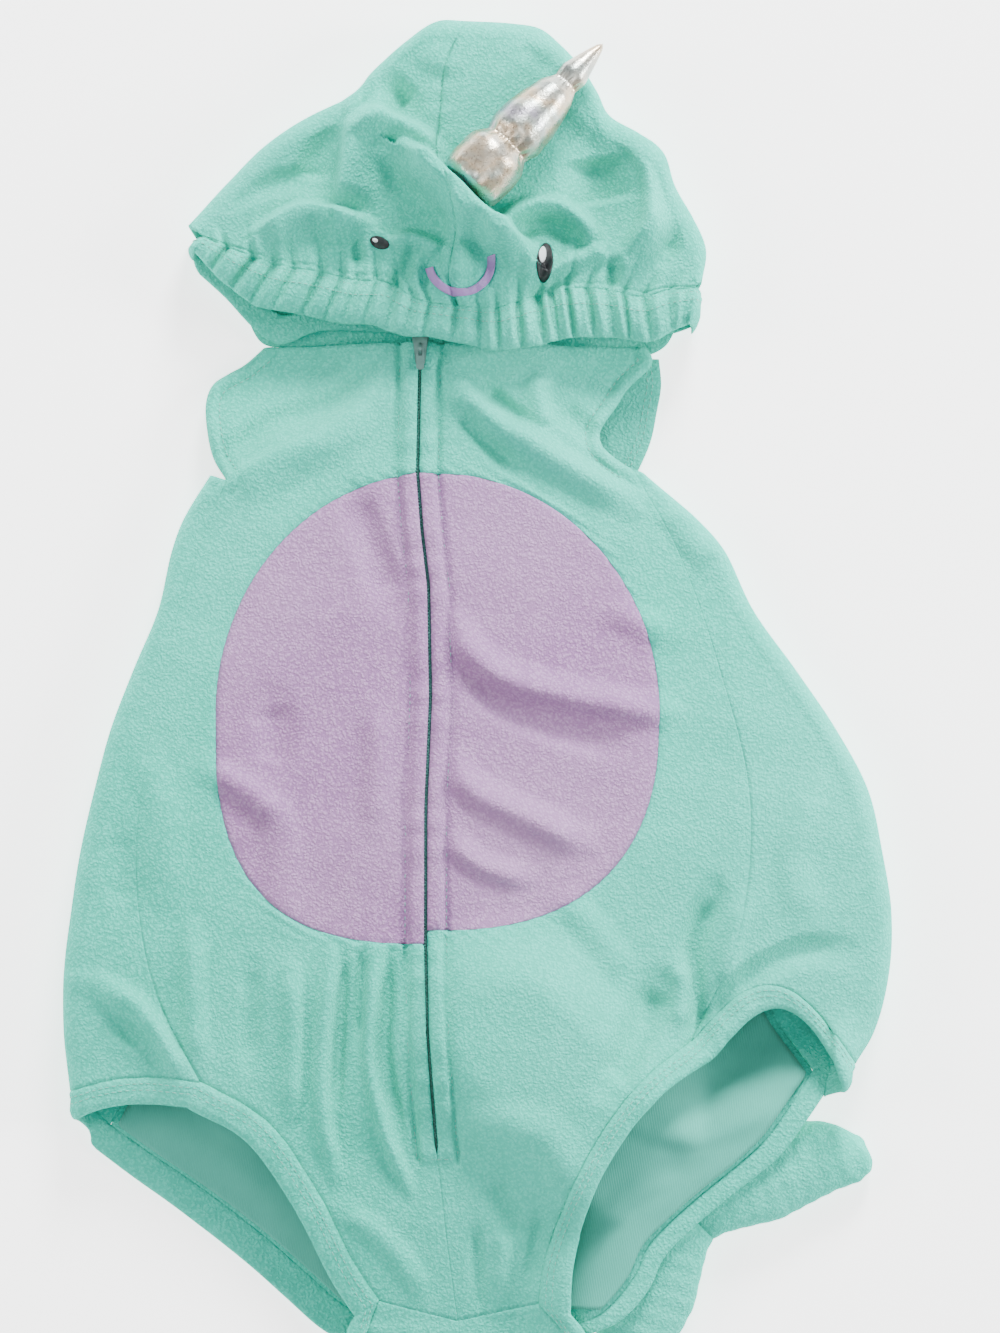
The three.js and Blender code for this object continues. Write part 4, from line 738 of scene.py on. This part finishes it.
def placeFront(side, u, v):
    point = mix(frontInner(side, u), chain(side, ("armhole", "seam", "leg"), u), v[:, None])
    x, y = point[:, 0], point[:, 1]
    toBelly, toZip = bellyGap(x, y), np.abs(x - innerEdge(side, y)[:, 0])
    toArm, toSeam, toLeg = (pathDistance(x, y, lines[side][key][::3])[0] for key in ("armhole", "seam", "leg"))
    slitted = smooth((y - zipPlan["end"]) / 4)
    drops = (0.5, 0.1 + 0.8 * slitted, 0.9, 0.1, 0.8)
    placed = placeOnBody(point, zip((toBelly, toZip, toArm, toSeam, toLeg), drops))
    placed[:, 2] -= hem["groove"] * bell(toArm - hem["turn"], hem["grooveWidth"])
    placed[:, 2] += hem["swell"] * smooth((hem["turn"] - toArm) / 2) * smooth(toArm / 2)
    bellyWave, sideWave = np.sin((x + 1.7 * y) * seamPucker["bellyWave"]), np.sin(y * seamPucker["sideWave"])
    placed[:, 2] += seamPucker["belly"] * bell(toBelly, seamPucker["reach"]) * bellyWave
    placed[:, 2] += seamPucker["side"] * bell(toSeam, seamPucker["reach"]) * sideWave
    return placed


def placeBelly(side, u, v):
    step = 1 / rowShare["arc"]
    outer = bellyLine(side, step + u * (1 - 2 * step))
    point = mix(innerEdge(side, mix(*bellyEnds(side), u)), outer, v[:, None])
    x, y = point[:, 0], point[:, 1]
    return placeOnBody(point, [(bellyGap(x, y), 0.5), (np.abs(x - innerEdge(side, y)[:, 0]), 0.9)])


backKeys = ("backArmhole", "under", "backLeg")


def placeBack(u, v):
    point = mix(chain("right", backKeys, u), chain("left", backKeys, u), v[:, None])
    return raised(point, lambda x, y: underside(x, y) + cloth["wall"])


liningPlan = {"fromRow": 17 / 34, "toRow": 33 / 34, "inset": 3.5, "above": 4.6, "swell": 3.0, "ripple": 1.6,
              "rippleSize": 34, "rippleSeed": 0.7}
liningFolds = [
    fold([(52, -176), (67, -186), (93, -194), (124, -184), (148, -176)], 3.4, 12, 7),
    fold([(72, -172), (114, -166), (150, -162)], -1.6, 8),
    fold([(41, -257), (69, -233), (90, -222), (112, -204)], 3.0, 8, 12),
    fold([(50, -224), (74, -210), (96, -206)], -1.8, 8),
    fold([(-150, -184), (-126, -196), (-102, -214), (-84, -240)], 3.0, 9, 14),
    fold([(-120, -178), (-96, -196), (-72, -226)], -1.6, 9),
]


def placeLining(u, v):
    row = mix(liningPlan["fromRow"], liningPlan["toRow"], u)
    right, left = chain("right", backKeys, row), chain("left", backKeys, row)
    inset = (liningPlan["inset"] / np.linalg.norm(left - right, axis=1))[:, None]
    point = mix(right, left, inset + (1 - 2 * inset) * v[:, None])
    x, y = point[:, 0], point[:, 1]
    swell = np.sin(np.pi * u) * np.sin(np.pi * v)
    uneven = liningPlan["ripple"] * ripple(x, y, liningPlan["rippleSize"], liningPlan["rippleSeed"])
    z = underside(x, y) + liningPlan["above"] + liningPlan["swell"] * swell
    return np.stack([x, y, z + (uneven + foldHeights(liningFolds, x, y)) * np.sqrt(swell)], 1)


for side in sides:
    makeCloth("front" + side.title(), grids["front"], lambda u, v: placeFront(side, u, v), aqua,
              [f"front_panel_{side}"])
    makeCloth("belly" + side.title(), grids["belly"], lambda u, v: placeBelly(side, u, v), lilac,
              [f"belly_panel_{side}"])
makeCloth("back", grids["back"], placeBack, aqua, ["back_panel"])
makeCloth("backLining", grids["lining"], placeLining, lining, ["back_lining"], cloth["liningWall"])


# Sides, crotch and hood wrap round from the top layer to the underside. Runs are the shares of the top and the roll.

runs = {"side": (0.42, 0.34), "crotch": (0.3, 0.5), "hood": (0.66, 0.16)}
rollRadius = {"side": 11, "crotch": 7, "hood": 11}


def wrapPlan(top, edge, under, v, kind, topHeight, underHeight, arch=0.0, bend=None):
    flat, rolled = runs[kind]
    across = np.linalg.norm(edge - top, axis=1)
    beneath = np.linalg.norm(edge - under, axis=1)
    turn = np.minimum(rollRadius[kind], 0.6 * np.minimum(across, beneath))
    turnTop = edge + (top - edge) * (turn / across)[:, None]
    turnUnder = edge + (under - edge) * (turn / beneath)[:, None]
    first = np.clip(v / flat, 0, 1)
    angle = np.pi * np.clip((v - flat) / rolled, 0, 1)
    last = np.clip((v - flat - rolled) / (1 - flat - rolled), 0, 1)
    upper = (1 + np.cos(angle)) / 2
    out = np.sin(angle)
    onTop, onRoll = v < flat, v < flat + rolled
    beyond = v > flat + rolled
    point = mix(mix(turnUnder, turnTop, upper[:, None]), edge, out[:, None])
    point = np.where(onTop[:, None], mix(top, turnTop, first[:, None]), point)
    point = np.where(beyond[:, None], mix(turnUnder, under, last[:, None]), point)
    share = np.where(onTop, first * (1 - turn / across), 1 - (turn / across) * (1 - out))
    point[:, 1] += np.where(upper > 0.5, arch * np.sin(np.pi * share), 0)
    if bend is not None:
        point = bend(point, share, onTop | (upper > 0.5) & onRoll)
    x, y = point[:, 0], point[:, 1]
    ends = mix(underHeight(*turnUnder.T), topHeight(*turnTop.T), upper)
    z = np.where(beyond, underHeight(x, y), np.where(onTop, topHeight(x, y), ends))
    return np.stack([x, y, z], 1), first * across


def placeSide(side, u, v):
    top, edge, under = (lineAt(lines[side][key], u) for key in ("seam", "outline", "under"))
    placed, run = wrapPlan(top, edge, under, v, "side", bodyTop, underside, arch=sides[side]["endArch"] * u ** 3)
    pucker = seamPucker["side"] * bell(run, seamPucker["reach"]) * np.sin(placed[:, 1] * seamPucker["sideWave"])
    placed[:, 2] += np.where(v < runs["side"][0], edgeDrop(run) * 0.11 + pucker, 0)
    return placed


crotchLines = [np.array(crotch["front"], float), spaced(crotch["edge"], 60), np.array(crotch["back"], float)[::2]]


def placeCrotch(u, v):
    return wrapPlan(*[lineAt(line, u) for line in crotchLines], v, "crotch", bodyTop, underside)[0]


for side in sides:
    makeCloth("side" + side.title(), grids["side"], lambda u, v: placeSide(side, u, v), aqua,
              [f"side_panel_{side}"])
makeCloth("crotchBand", grids["crotch"], placeCrotch, aqua, ["crotch_band"])


# Turned bands run round a loop of stations. A station's angle is 0 on the top layer and half a turn below.

hemShape = {"flatness": 0.45, "roundness": 0.75, "crown": 0.5, "start": -0.05, "grooveDepth": 0.75, "grooveWidth": 0.9,
            "faceUp": 0.6, "drawnWidth": 13}
legHem = {"grooves": [3.6, 6.4], "puff": 1.3}
casingHem = {"grooves": [1.8, 4.6], "puff": 2.2}


def signedPower(value, power):
    return np.sign(value) * np.abs(value) ** power


def placeBand(here, fit, turn, wave, hemTable):
    way = np.radians(here["heading"])
    point, upper, width = here["point"], here["upper"], here["width"]
    end = point[:, :2] + np.stack([np.cos(way), np.sin(way)], 1) * width[:, None]
    along = np.column_stack([end - point[:, :2], fit(point, end, upper)])
    unit = along / np.linalg.norm(along, axis=1)[:, None]
    normal = here["normal"] / np.linalg.norm(here["normal"], axis=1)[:, None]
    out = normal - unit * np.sum(normal * unit, axis=1)[:, None]
    out /= np.linalg.norm(out, axis=1)[:, None]
    share = 0.5 - 0.5 * signedPower(np.cos(turn), hemShape["flatness"])
    half = cloth["bandWall"] / 2
    onTop = np.sin(turn) > 0
    lift = half * signedPower(np.sin(turn), hemShape["roundness"]) - half
    lift = lift + hemShape["crown"] * np.sin(np.pi * np.clip(share, 0, 1)) * onTop
    share = mix(hemShape["start"], 1, share)
    lift = np.where(lift > 0, lift * (0.15 + 0.85 * upper), lift)
    for groove in hemTable["grooves"]:
        lift = lift - np.where(onTop, hemShape["grooveDepth"] * bell(share * width - groove,
                                                                     hemShape["grooveWidth"]), 0)
    swell = hemTable["puff"] * np.sin(np.pi * np.clip(share, 0, 1)) ** 0.7 * onTop
    swell = swell + wave * (0.3 + 0.7 * np.sin(np.pi * np.minimum(1, 0.2 + 0.8 * share)))
    return point + along * share[:, None] + out * (lift + upper * swell)[:, None]


bandRails = []


def makeBand(name, stations, table, fit, hemTable, nodes, grid, gathers=None):
    rail = {key: np.array([s[key] for s in stations + stations[:1]], float) for key in stations[0]}
    for key in ("width", "heading"):
        rail[key] = np.interp(rail["share"], table["share"], table[key])

    def place(u, v):
        at = u * len(stations)
        here = {key: between(values, at) for key, values in rail.items()}
        wave = 0.25 * np.sin(at * 0.55) + 0.15 * np.sin(at * 1.31 + 1)
        if gathers:
            wave = gathers(here["share"]) * here["wave"]
        return placeBand(here, fit, 2 * np.pi * v, wave, hemTable)

    around = np.linspace(0, 1, 500)
    for groove in hemTable["grooves"]:
        middle = 1 - 2 * groove / hemShape["drawnWidth"]
        turn = math.acos(signedPower(middle, 1 / hemShape["flatness"])) / (2 * math.pi)
        facing = between(rail["upper"], around * len(stations)) > hemShape["faceUp"]
        bandRails.append((place(around, np.full(500, turn)), facing))
    bm = placeGrid(grid, place, closeRows=True, closeColumns=True)
    return makeObject(name, bm, aqua, nodes)


def makeStations(points, angles, away, shares, waves):
    made = []
    for point, angle, share, wave in zip(points, angles, shares, waves):
        normal = np.array([away[0] * math.sin(angle), away[1] * math.sin(angle), math.cos(angle)])
        made.append({"point": point, "normal": normal / np.linalg.norm(normal), "upper": (1 + math.cos(angle)) / 2,
                     "share": share, "wave": wave})
    return made


def bodyFit(point, end, upper):
    topStep = bodyTop(end[:, 0], end[:, 1]) - bodyTop(point[:, 0], point[:, 1])
    lowStep = underside(end[:, 0], end[:, 1]) - underside(point[:, 0], point[:, 1])
    return mix(lowStep, topStep, upper)


def legLoop(side):
    line = lines[side]
    front, back = lineAt(line["leg"], np.linspace(1, 0, 41)), lineAt(line["backLeg"], np.linspace(0, 1, 41))
    v = np.linspace(0, 1, 61)
    rolled = np.pi * np.clip((v - runs["side"][0]) / runs["side"][1], 0, 1)
    away = line["outline"][-1] - line["seam"][-1]
    level = np.linspace(1, 0, 21)
    end = placeCrotch(np.full(21, 0.0 if side == "right" else 1.0), level)
    arcs = [(raised(front, bodyTop), np.zeros(41), (0, 0), 10),
            (placeSide(side, np.ones(61), v)[1:-1], rolled[1:-1], away / np.linalg.norm(away), 12),
            (raised(back, underside), np.full(41, np.pi), (0, 0), 10),
            (end[1:-1], np.pi * level[1:-1], (0, -1), 5)]
    total = sum(weight for *_, weight in arcs)
    stations, base = [], 0
    for points, angles, outward, weight in arcs:
        shares = (base + weight * np.arange(len(points)) / len(points)) / total
        stations += makeStations(points, angles, outward, shares, np.ones(len(points)))
        base += weight
    return stations


for side in sides:
    makeBand("legBand" + side.title(), legLoop(side), sides[side]["band"], bodyFit, legHem, [f"leg_band_{side}"],
             grids["legBand"])
print("body made")


# The hood and its gathered casing.

centreLine = spaced(hood["centre"], 60)
hoodSeams = {"centreReach": 3.2, "centreDrop": 1.2, "casingReach": 2.2, "casingDrop": 0.45, "groove": 0.7,
             "grooveAt": 3.0,
             "grooveWidth": 0.9, "gather": 2.0, "gatherReach": 13, "pucker": 0.35, "puckerReach": 6}


def gatherWave(share):
    phase = 2 * np.pi * casing["gathers"] * share + 1.3 * np.sin(2 * np.pi * 2.6 * share + 0.8)
    phase = phase + 0.7 * np.sin(2 * np.pi * 7.1 * share)
    return 1.9 * np.abs(np.cos(phase / 2)) - 1.15 + 0.3 * np.cos(1.7 * phase + 1)


def fadeEnds(share):
    return smooth((1 - np.abs(2 * share - 1)) * 12)


def placeHood(side, u, v):
    top, edge, under = (lineAt(lines[side][key], u) for key in ("casing", "crown", "neck"))

    def bend(point, share, upper):
        seamX = np.interp(mix(centreLine[0, 1], centreLine[-1, 1], share), centreLine[:, 1], centreLine[:, 0])
        straight = mix(centreLine[0, 0], centreLine[-1, 0], share)
        point[:, 0] += np.where(upper, (seamX - straight) * (1 - smooth(u * 13 / 5)), 0)
        return point

    placed, run = wrapPlan(top, edge, under, v, "hood", hoodTop, lambda x, y: 2.1 * smooth((x - 70) / 14), bend=bend)
    x, y = placed[:, 0], placed[:, 1]
    seamGap = np.abs(x - np.interp(y, centreLine[:, 1], centreLine[:, 0]))
    share = 0.5 - u / 2 if side == "right" else 0.5 + u / 2
    relieved = gatherWave(share) * hoodSeams["gather"] * np.exp(-run / hoodSeams["gatherReach"]) * fadeEnds(share)
    relieved += edgeDrop(seamGap, hoodSeams["centreReach"], hoodSeams["centreDrop"])
    relieved += edgeDrop(run, hoodSeams["casingReach"], hoodSeams["casingDrop"])
    relieved -= hoodSeams["groove"] * bell(run - hoodSeams["grooveAt"], hoodSeams["grooveWidth"])
    relieved += hoodSeams["pucker"] * bell(seamGap, hoodSeams["puckerReach"]) * np.sin(y * 0.6)
    placed[:, 2] += np.where(v < runs["hood"][0], relieved, 0)
    return placed


def casingLoop():
    right, left = lines["right"]["casing"], lines["left"]["casing"]
    upperLine = np.vstack([lineAt(right, np.linspace(1, 0, 61)), lineAt(left, np.linspace(0, 1, 61))[1:]])
    upperLine = raised(upperLine, hoodTop)
    lowerLine = raised(spaced(casing["lower"], 60), lambda x, y: np.full(x.shape, casing["lowerZ"]))
    angles = np.pi * np.arange(1, 10) / 10
    level = (1 + np.cos(angles)) / 2
    ends = []
    for upperEnd, lowerEnd, away in ((upperLine[-1], lowerLine[0], (1, 0.1)),
                                     (upperLine[0], lowerLine[-1], (-1, 0.3))):
        swing = casing["swing"] * np.sin(angles)[:, None] * np.array([*away, 0])
        ends.append(mix(lowerEnd, upperEnd, level[:, None]) + swing)
    flat, turned = np.zeros(len(upperLine)), np.full(len(lowerLine), np.pi)
    stations = makeStations(upperLine, flat, (0, 0), np.linspace(0, 1, len(upperLine)), flat + 1)
    stations += makeStations(ends[0], angles, (1, 0.1), np.ones(9), level)
    stations += makeStations(lowerLine, turned, (0, 0), np.full(len(lowerLine), 2.0), turned * 0)
    return stations + makeStations(ends[1][::-1], angles[::-1], (-1, 0.3), np.zeros(9), level[::-1])


def casingFit(point, end, upper):
    level = np.maximum(22.5, hoodTop(end[:, 0], end[:, 1])) - point[:, 2] - 1.5
    return np.where(upper > 0.999, level, 0)


def casingGathers(share):
    strength = 0.75 + 0.25 * np.sin(2 * np.pi * share * 1.7 + 0.6)
    return np.where(share <= 1, casing["depth"] * strength * gatherWave(share) * fadeEnds(share), 0)


for side in sides:
    makeCloth("hood" + side.title(), grids["hood"], lambda u, v: placeHood(side, u, v), aqua,
              [f"hood_panel_{side}"])
makeBand("hoodCasing", casingLoop(), casing, casingFit, casingHem, ["hood_casing"], grids["casing"], casingGathers)
print("hood made")


# The stuffed horn: a turned profile, tied in at two necks.

def makeHorn():
    bm = bmesh.new()
    axis = Vector(hornEnd - hornStart).normalized()
    across = axis.cross(Vector((0, 0, 1))).normalized()
    steps = np.linspace(horn["at"][0], horn["at"][-1], horn["stations"])
    radii = np.interp(steps, horn["at"], horn["radius"])
    for _ in range(horn["easing"]):
        radii[1:-1] = (radii[:-2] + 2 * radii[1:-1] + radii[2:]) / 4
    start = Vector(hornStart)
    rail = [bm.verts.new((start + axis * float(s) + across * float(r)) * mm + planShift) for s, r in zip(steps, radii)]
    edges = [bm.edges.new(pair) for pair in zip(rail, rail[1:])]
    bmesh.ops.spin(bm, geom=rail + edges, cent=start * mm + planShift, axis=axis, dvec=(0, 0, 0), angle=2 * math.pi,
                   steps=horn["around"], use_merge=True)
    bmesh.ops.remove_doubles(bm, verts=bm.verts, dist=2e-6)
    side = axis.cross(across)
    for vert in bm.verts:
        offset = (vert.co - planShift) / mm - start
        at = offset.dot(axis)
        radial = offset - axis * at
        if radial.length < 0.3:
            continue
        angle = math.atan2(radial.dot(side), radial.dot(across))
        pull = sum(bell(at - neck, horn["pullReach"]) for neck in horn["necks"]) + 0.3 * bell(at - 1, 4)
        groove = horn["groove"] * sum(bell(at - neck, horn["grooveReach"]) for neck in horn["necks"])
        pleat = abs(math.cos(horn["puckers"] / 2 * angle + 0.9 * math.sin(3 * angle))) - 0.6
        crease = horn["crease"] * pleat + 0.02 * math.cos(17 * angle)
        soft = 0.010 * math.sin(0.31 * at + 2 * angle) + 0.006 * math.sin(0.62 * at - 3 * angle + 1)
        vert.co += radial * float(crease * min(1.0, pull) + soft - groove) * mm
    bmesh.ops.recalc_face_normals(bm, faces=bm.faces)
    makeObject("hornStuffed", bm, silver, ["horn"])


makeHorn()


# The embroidered face lies on the hood.

hoodSkins = []
for side in sides:
    skin = bmesh.new()
    skin.from_mesh(bpy.data.objects["hood" + side.title()].data)
    hoodSkins.append(BVHTree.FromBMesh(skin))
    skin.free()


def onHood(x, y):
    z = []
    for px, py in zip(x, y):
        above = Vector((px, py, 90)) * mm + planShift
        hits = [skin.ray_cast(above, (0, 0, -1))[0] for skin in hoodSkins]
        z.append(max([(hit.z - planShift.z) / mm for hit in hits if hit] or [30.0]))
    return np.array(z)


def makePatch(name, centre, width, height, tilt, lift, crown, material, nodes=()):
    turn = math.radians(tilt)

    def place(u, v):
        angle = 2 * np.pi * u
        x, y = v * width / 2 * np.cos(angle), v * height / 2 * np.sin(angle)
        x, y = centre[0] + x * math.cos(turn) - y * math.sin(turn), centre[1] + x * math.sin(turn) + y * math.cos(turn)
        return np.stack([x, y, onHood(x, y) + lift + crown * np.sqrt(np.clip(1 - v ** 2, 0, 1))], 1)

    makeCloth(name, grids["patch"], place, material, nodes, cloth["patchWall"], closeRows=True)


for side, eye in eyes.items():
    (x, y), tilt = eye["at"], eye["tilt"]
    makePatch("eye" + side.title(), (x, y), eye["width"], eye["height"], tilt, 0.35, 0.7, eyeThread, [f"eye_{side}"])
    dx, dy, wide, tall = eye["glint"]
    makePatch("eyeGlint" + side.title(), (x + dx, y + dy), wide, tall, tilt, 1.0, 0.45, glintThread)


def placeSmile(u, v):
    angle = np.radians(mix(smile["from"], smile["to"], u))
    turn = 2 * np.pi * v
    radius = smile["radius"] + smile["stroke"] / 2 * np.cos(turn)
    x = smile["at"][0] + radius * np.cos(angle)
    y = smile["at"][1] + radius * np.sin(angle)
    bed = np.max([onHood(x + aside, y) for aside in (-0.9, 0, 0.9)], axis=0)
    return np.stack([x, y, bed + 0.3 + 0.75 * np.sin(turn)], 1)


bm = placeGrid(grids["smile"], placeSmile, closeColumns=True, capped=True)
makeObject("smileStitched", bm, smileThread, ["smile"])
print("face made")


# The stuffed tail: across runs from the notch to a fluke's tip, lead and trail are its edges.

tailTurn = math.radians(tail["turn"])
tip = {"from": 74, "reach": 5.0, "thin": 0.3, "overrun": 0.9}


def tailPlan(a, c, z):
    x = tail["notch"][0] + a * math.cos(tailTurn) - c * math.sin(tailTurn)
    y = tail["notch"][1] + a * math.sin(tailTurn) + c * math.cos(tailTurn)
    return np.stack([x, y, z], 1)


def pillow(v, height):
    turn = 2 * np.pi * v
    sine = np.sin(turn)
    rise = np.where(sine >= 0, np.abs(sine) ** 0.85, -np.abs(sine) ** 0.5)
    return (1 + signedPower(np.cos(turn), 0.85)) / 2, height * (0.5 + rise / 2), np.abs(sine)


def smoothTable(at, keys, values):
    fine = np.linspace(keys[0], keys[-1], 200)
    eased = np.interp(fine, keys, values)
    for _ in range(12):
        eased[1:-1] = (eased[:-2] + 2 * eased[1:-1] + eased[2:]) / 4
    return np.interp(at, fine, eased)


def placeFluke(sign, u, v):
    across = mix(tail["across"][0], tail["across"][-1] + tip["overrun"], 1 - (1 - u) ** 2)
    lead, trail, height = (smoothTable(across, tail["across"], tail[key]) for key in ("lead", "trail", "height"))
    rounded = np.sqrt(np.clip(1 - ((across - tip["from"]) / tip["reach"]) ** 2, 0.0, 1))
    closing = np.where(across > tip["from"], rounded, 1)
    middle = (lead + trail) / 2
    lead, trail, height = mix(middle, lead, closing), mix(middle, trail, closing), height * mix(tip["thin"], 1,
                                                                                                closing)
    share, z, flat = pillow(v, height)
    a = mix(lead, trail, share)
    onTop = z > height / 2
    dimple = 0.5 * np.sin(a * 0.35 + across * 0.22) * np.sin(across * 0.4) * flat * onTop
    edgePull = 0.15 * np.sin(across * 0.9) * (1 - flat) * np.where(share > 0.5, 1, -1)
    return tailPlan(a + edgePull, sign * across, z - 1.6 * bell(across, 3.0) * onTop + dimple)


def placeStem(u, v):
    stem = tail["stem"]
    end = np.sqrt(np.clip(1 - ((0.16 - np.minimum(u, 0.16)) / 0.17) ** 2, 0.08, 1))
    share, z, _ = pillow(v, stem["height"] * mix(0.6, 1, end))
    return tailPlan(mix(stem["from"], stem["to"], u), mix(-stem["halfWidth"], stem["halfWidth"], share) * end, z)


tailPieces = {"flukeUpper": (grids["fluke"], lambda u, v: placeFluke(1, u, v), "tail_fluke_upper"),
              "flukeLower": (grids["fluke"], lambda u, v: placeFluke(-1, u, v), "tail_fluke_lower"),
              "tailStem": (grids["stem"], placeStem, "tail_stem")}
for name, (grid, place, node) in tailPieces.items():
    bm = placeGrid(grid, place, closeColumns=True, capped=True)
    makeObject(name, bm, aqua, [node])
print("tail made")


# The zip: tape, coil, slider and pull tab.

coil = {"aside": 0.45, "below": 1.9, "radius": 0.55, "shape": (1.9, 0.8, 0.9)}


def placeTape(u, v):
    y = mix(zipPlan["top"] + 0.5, zipPlan["end"] - 6.0, u)
    x = zipX(y) + (2 * v - 1) * zipPlan["tapeHalf"]
    return np.stack([x, y, bodyBase(x, y) - cloth["wall"] - zipPlan["tapeDrop"] - 0.1], 1)


def addBead(bm, radius, shape, spot, way=None):
    made = bmesh.ops.create_icosphere(bm, subdivisions=1, radius=radius * mm)["verts"]
    bmesh.ops.scale(bm, vec=shape, verts=made)
    if way is not None:
        bmesh.ops.rotate(bm, cent=(0, 0, 0), matrix=way.to_track_quat("X", "Z").to_matrix(), verts=made)
    bmesh.ops.translate(bm, vec=Vector(spot) * mm + planShift, verts=made)


def makeCoil():
    bm = bmesh.new()
    y, side = zipPlan["top"] - 1.0, 1
    while y > zipPlan["end"] - 2:
        x = float(zipX(y)) + side * coil["aside"]
        z = float(bodyBase(np.array([x]), np.array([y]))[0]) - coil["below"]
        addBead(bm, coil["radius"], coil["shape"], (x, y, z))
        y, side = y - zipPlan["pitch"] / 2, -side
    makeObject("zipCoil", bm, tapeCloth)


makeCloth("zipTape", grids["tape"], placeTape, tapeCloth, ["zip_tape"], cloth["tapeWall"])
makeCoil()
for node in ("zip_slider", "zip_pull_tab"):
    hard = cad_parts[node]
    hard.data.materials.clear()
    hard.data.materials.append(metal)


# Stitches beside the zip, along the armholes and along the bands.

stitch = {"length": 2.3, "pitch": 3.1, "thick": 0.5, "insets": (4.0, 6.4), "rise": 0.1}


def stitchRow(bm, rail):
    run = runAlong(rail)
    at = np.arange(stitch["pitch"] / 2, run[-1], stitch["pitch"])
    for spot, ahead in zip(between(rail, at, run), between(rail, at + 0.5, run)):
        way = Vector(ahead - spot)
        if way.length >= 0.1:
            addBead(bm, stitch["thick"] / 2, (stitch["length"] / stitch["thick"], 1, 0.8), spot, way)


def onBody(x, y):
    return bodyTop(x, y) + stitch["rise"]


def onBack(x, y):
    return underside(x, y) + cloth["wall"] + stitch["rise"]


bm = bmesh.new()
lowest = zipPlan["end"] - placket["endBelow"]
down = np.linspace(zipPlan["top"] - 5, lowest, 120)
for sign in (-1, 1):
    stitchRow(bm, raised(np.column_stack([zipX(down) + sign * zipPlan["topstitch"], down]), onBody))
across = zipX(lowest) + np.linspace(-zipPlan["topstitch"], zipPlan["topstitch"], 12)
stitchRow(bm, raised(np.column_stack([across, np.full(12, float(lowest))]), onBody))
makeObject("zipTopstitch", bm, thread)
bm = bmesh.new()
for side in sides:
    for key, height in (("armhole", bodyTop), ("backArmhole", onBack)):
        line = lineAt(lines[side][key], np.linspace(0.02, 0.98, 80))
        way = np.gradient(line, axis=0)
        inward = np.stack([-way[:, 1], way[:, 0]], 1) / np.linalg.norm(way, axis=1)[:, None] * -sides[side]["sign"]
        for inset in stitch["insets"]:
            stitchRow(bm, raised(line + inward * inset, height))
for rail, facing in bandRails:
    for piece in np.split(np.arange(len(rail)), np.where(np.diff(facing.astype(int)) != 0)[0] + 1):
        if facing[piece[0]] and len(piece) > 3:
            stitchRow(bm, rail[piece])
makeObject("bandStitches", bm, thread)
print("zip made")


# The pale floor, the lights and the camera.

lamps = {
    "keyTop": {"at": (0.60, 2.50, 1.25), "size": 0.9, "energy": 180, "colour": (0.98, 1.0, 1.0)},
    "keySide": {"at": (2.50, 0.20, 1.05), "size": 0.9, "energy": 92, "colour": (0.98, 1.0, 1.0)},
    "sideFill": {"at": (-2.40, 0.10, 1.30), "size": 1.2, "energy": 52, "colour": (1.0, 0.96, 0.92)},
    "overhead": {"at": (0.0, -0.4, 2.4), "size": 1.6, "energy": 24, "colour": (1, 1, 1)},
}
room = {"colour": (0.95, 0.97, 1.0, 1), "strength": 0.45, "floor": 6, "floorZ": -0.0003, "glow": 2.2}
shot = {"aim": (9.9, 16.875, 8), "distance": 2.0, "elevation": 86.0, "spanMm": 600.0, "sensor": 36}

bm = bmesh.new()
bmesh.ops.create_grid(bm, x_segments=1, y_segments=1, size=room["floor"])
floorMesh = bpy.data.meshes.new("paleFloor")
bm.to_mesh(floorMesh)
bm.free()
floor = bpy.data.objects.new("paleFloor", floorMesh)
bpy.context.scene.collection.objects.link(floor)
floor.location.z = room["floorZ"]
floorMesh.materials.append(startMaterial("paleSurface", {
    "Roughness": 0.9, "Specular IOR Level": 0.1, "Base Color": (0.97, 0.97, 0.97), "Emission Color": (1, 1, 1),
    "Emission Strength": room["glow"]})[0])

for name, lamp in lamps.items():
    data = bpy.data.lights.new(name, "AREA")
    data.shape = "DISK"
    data.size = lamp["size"]
    data.energy = lamp["energy"]
    data.color = lamp["colour"]
    light = bpy.data.objects.new(name, data)
    light.location = lamp["at"]
    light.rotation_euler = (-light.location).to_track_quat("-Z", "Y").to_euler()
    bpy.context.scene.collection.objects.link(light)
world = bpy.data.worlds.new("softRoom")
bpy.context.scene.world = world
world.use_nodes = True
sky = world.node_tree.nodes["Background"]
sky.inputs["Color"].default_value = room["colour"]
sky.inputs["Strength"].default_value = room["strength"]

cameraData = bpy.data.cameras.new("photoCamera")
cameraData.sensor_fit = "VERTICAL"
cameraData.sensor_height = shot["sensor"]
cameraData.lens = shot["sensor"] * shot["distance"] / mm / shot["spanMm"]
camera = bpy.data.objects.new("photoCamera", cameraData)
aim = Vector(shot["aim"]) * mm + planShift
lean = math.radians(shot["elevation"])
camera.location = aim + Vector((0, -math.cos(lean), math.sin(lean))) * shot["distance"]
camera.rotation_euler = (aim - camera.location).to_track_quat("-Z", "Y").to_euler()
bpy.context.scene.collection.objects.link(camera)
bpy.context.scene.camera = camera
